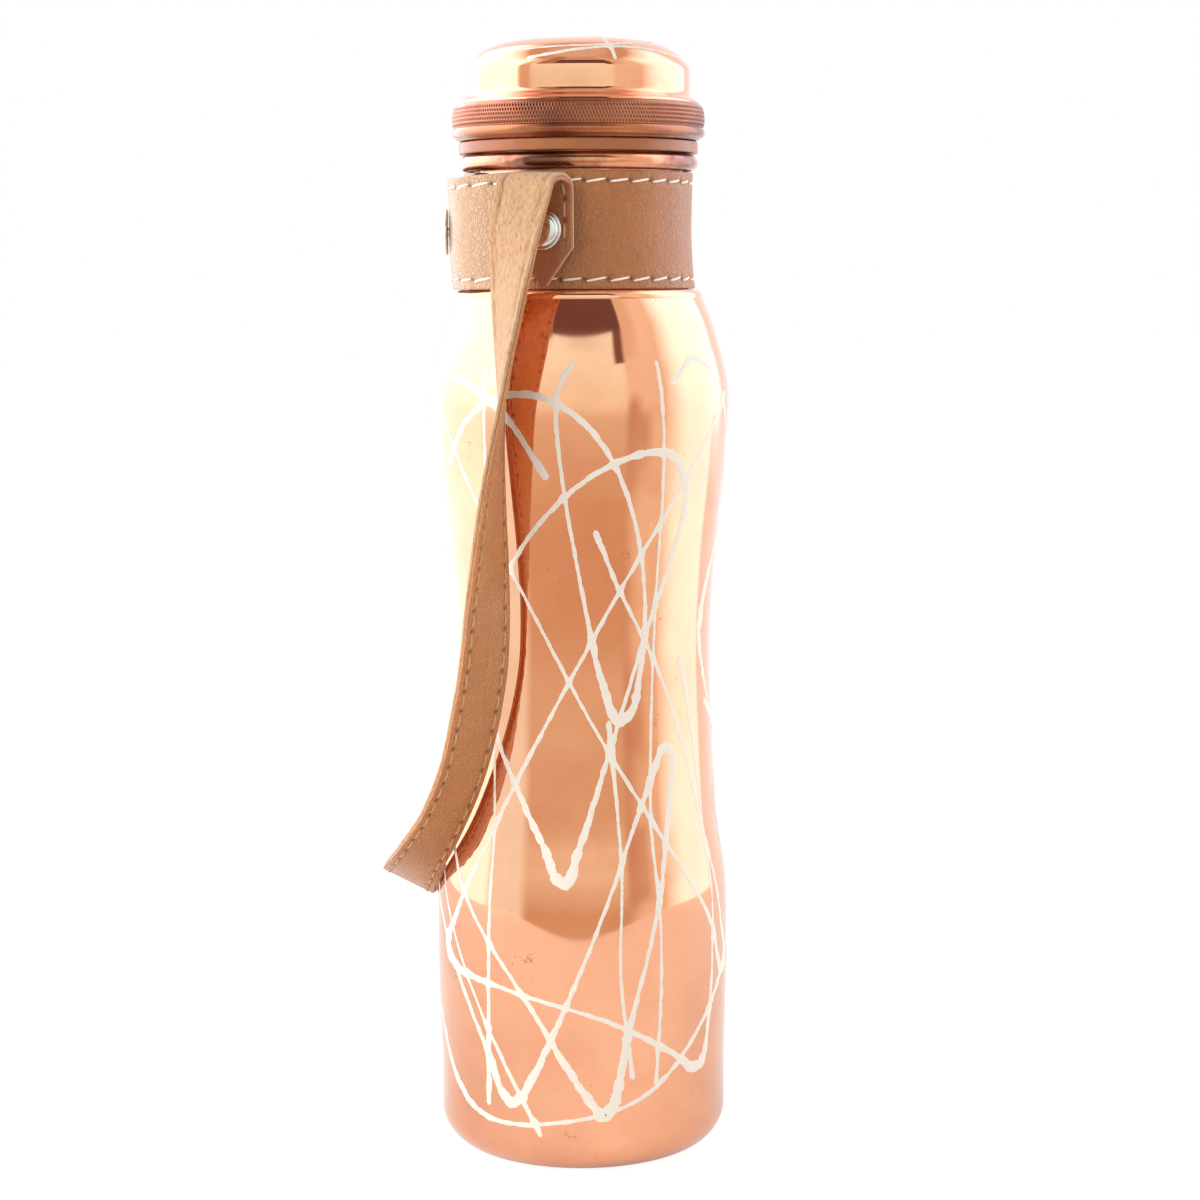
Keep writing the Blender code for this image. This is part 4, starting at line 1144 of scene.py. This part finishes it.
def eased_rows(rows, step):
    """The rows with more between them about step apart; each has its way along the loop as well."""
    places = [row[0] for row in rows]
    mirrored = Vector((places[-2].x, -places[-2].y, places[-2].z))
    around = [2 * places[0] - places[1], *places, mirrored]
    angles = [Vector((turn, tip, 0)) for _, turn, tip in rows]
    made = []
    way = 0.0
    for i, span in enumerate(spans(around, step)):
        count = len(span) - 1
        for k in range(count):
            angle = angles[i].lerp(angles[i + 1], k / count)
            made.append((span[k], angle.x, angle.y, way))
            way += (span[k + 1] - span[k]).length
    made.append((*rows[-1], way))
    return made


def strap_sections(step):
    """(centre, across, outward, width, way) of each section of the loop from tip to tip."""
    rows = eased_rows(leg_rows(), step)
    half_way = rows[-1][3]
    front = []
    for i, (place, turn, tip, way) in enumerate(rows):
        behind = rows[max(i - 1, 0)][0]
        ahead = rows[i + 1][0] if i + 1 < len(rows) else Vector((behind.x, -behind.y, behind.z))
        across = Vector((math.cos(turn) * math.cos(tip), -math.sin(turn) * math.cos(tip), math.sin(tip)))
        outward = across.cross(ahead - behind).normalized()
        point_share = min(way / strap_tip_length, 1)
        width = strap_tip_width + (strap_width - strap_tip_width) * point_share
        front.append((place, across, outward, width, way))
    made = list(front)
    for place, across, outward, width, way in front[-2::-1]:
        flip = Vector((1, -1, 1))
        made.append((place * flip, across * flip, outward * flip, width, 2 * half_way - way))
    return made


sections_of_strap = strap_sections(0.56 * mm)
loop_length = sections_of_strap[-1][4]
strap_seam_inset = 1.75 * mm
strap_stitch_pitch = 5.05 * mm
strap_seam_start = strap_tip_length + 1.2 * mm
strap_stitches = int((loop_length - 2 * strap_seam_start) / strap_stitch_pitch)
strap_tab = 17 * mm
strap_easing = 10 * mm
strap_thinning = 0.24 * mm


def half_thickness(way):
    """Half the strap's thickness: full at the riveted tabs, and rolled thinner beyond them."""
    past_tab = min(max((min(way, loop_length - way) - strap_tab) / strap_easing, 0), 1)
    return strap_ply + strap_gap / 2 - strap_thinning * past_tab


def strap_face(face):
    """One ply: face 1 is the grain side, and -1 the flesh side."""
    columns = 30
    edge_rounding = 0.30 * mm
    glue_line = 0.03 * mm
    glue_rounding = 0.18 * mm
    sections, marks = [], []
    for place, across, outward, width, way in sections_of_strap:
        along = way - strap_seam_start
        in_seam = strap_seam_start < way < loop_length - strap_seam_start
        end_gap = min(way, loop_length - way) + 0.02 * mm
        section, holes = [], []
        for level, radius, sense in ((half_thickness(way), edge_rounding, 1), (glue_line, glue_rounding, -1)):
            for k in range(columns + 1)[::sense]:
                share = 0.5 - math.cos(math.pi * k / columns) / 2
                over = width * (share - 0.5)
                edge_gap = width * min(share, 1 - share)
                risen = rounded(edge_gap / radius, end_gap / radius)
                lift = level - sense * radius * (1 - risen)
                hole = 0.0
                if in_seam and sense > 0:
                    seam = (along, edge_gap, strap_seam_inset, strap_stitch_pitch)
                    lift -= 0.7 * stitch_pull(*seam)
                    hole = needle_hole(*seam)
                    if face < 0:
                        # On the flesh side the needle holes get a lighter painted shade, and along the seam a
                        # line is darker in patches
                        off = (edge_gap - strap_seam_inset) / (0.45 * mm)
                        patchy = 0.5 + noise.noise(Vector((along * 260, share * 3, 0)))
                        hole = max(0.6 * hole, min(max(patchy, 0.0), 0.9) * math.exp(-(off**2)))
                section.append(place + across * over + outward * lift * face)
                holes.append(hole)
        sections.append(section)
        marks.append(holes)
    return lofted(sections, marks)


# The strap's tabs under the fold are painted darker, as the fold's shadow on them
strap_leather = leather_finish(
    "Cowhide strap, grain side", "D08A54", "BA7640", 0.70 * mm, 0.18 * mm, 0.50, tab_fold_shade="AC663C"
)
for side, face, finish, slot, node in (
    ("grain", 1, strap_leather, "leather", "strap_outer"),
    ("flesh", -1, flesh_leather, "leather_flesh_side", "strap_lining"),
):
    finished(f"loop_{side}_ply", strap_face(face), finish, "handle", [node], crease=50)


# Loop seams. Tan waxed thread in a running stitch along both edges, seen on both faces; the
# needle holes have painted shade in them.
tan_thread = thread_finish("Tan waxed linen thread", "E2B582", "B07C4C")
strap_ways = [section[4] for section in sections_of_strap]


def strap_place(way, over, lift):
    """A point at a way along the loop, over towards one edge and lifted off its middle."""
    i = min(max(int(np.searchsorted(strap_ways, way)), 1), len(strap_ways) - 1)
    share = (way - strap_ways[i - 1]) / max(strap_ways[i] - strap_ways[i - 1], 1e-9)
    low, high = sections_of_strap[i - 1], sections_of_strap[i]
    place, across, outward = (low[k].lerp(high[k], share) for k in range(3))
    return place + across * over + outward * lift, outward


for name, edge_side in (("left", -1), ("right", 1)):
    bm = bmesh.new()
    over = edge_side * (strap_width / 2 - strap_seam_inset)
    for i in range(strap_stitches):
        middle_way = strap_seam_start + strap_stitch_pitch * (i + 0.5)
        ways = [middle_way + side * 0.36 * strap_stitch_pitch for side in (-1, 0, 1)]
        for face, sunk, thickness, rise in ((1, 0.16, 0.27, 0.24), (-1, 0.30, 0.20, 0.12)):
            lift = face * (half_thickness(middle_way) - sunk * mm)
            (start, _), (middle, up), (end, _) = [strap_place(way, over, lift) for way in ways]
            bow = (middle - (start + end) / 2).dot(up * face)
            sew(bm, start, end, up * face, thickness * mm, bow + rise * mm)
    node = f"strap_thread_{name}"
    finished(f"loop_stitches_{name}", bm, tan_thread, "handle", [node], crease=70)
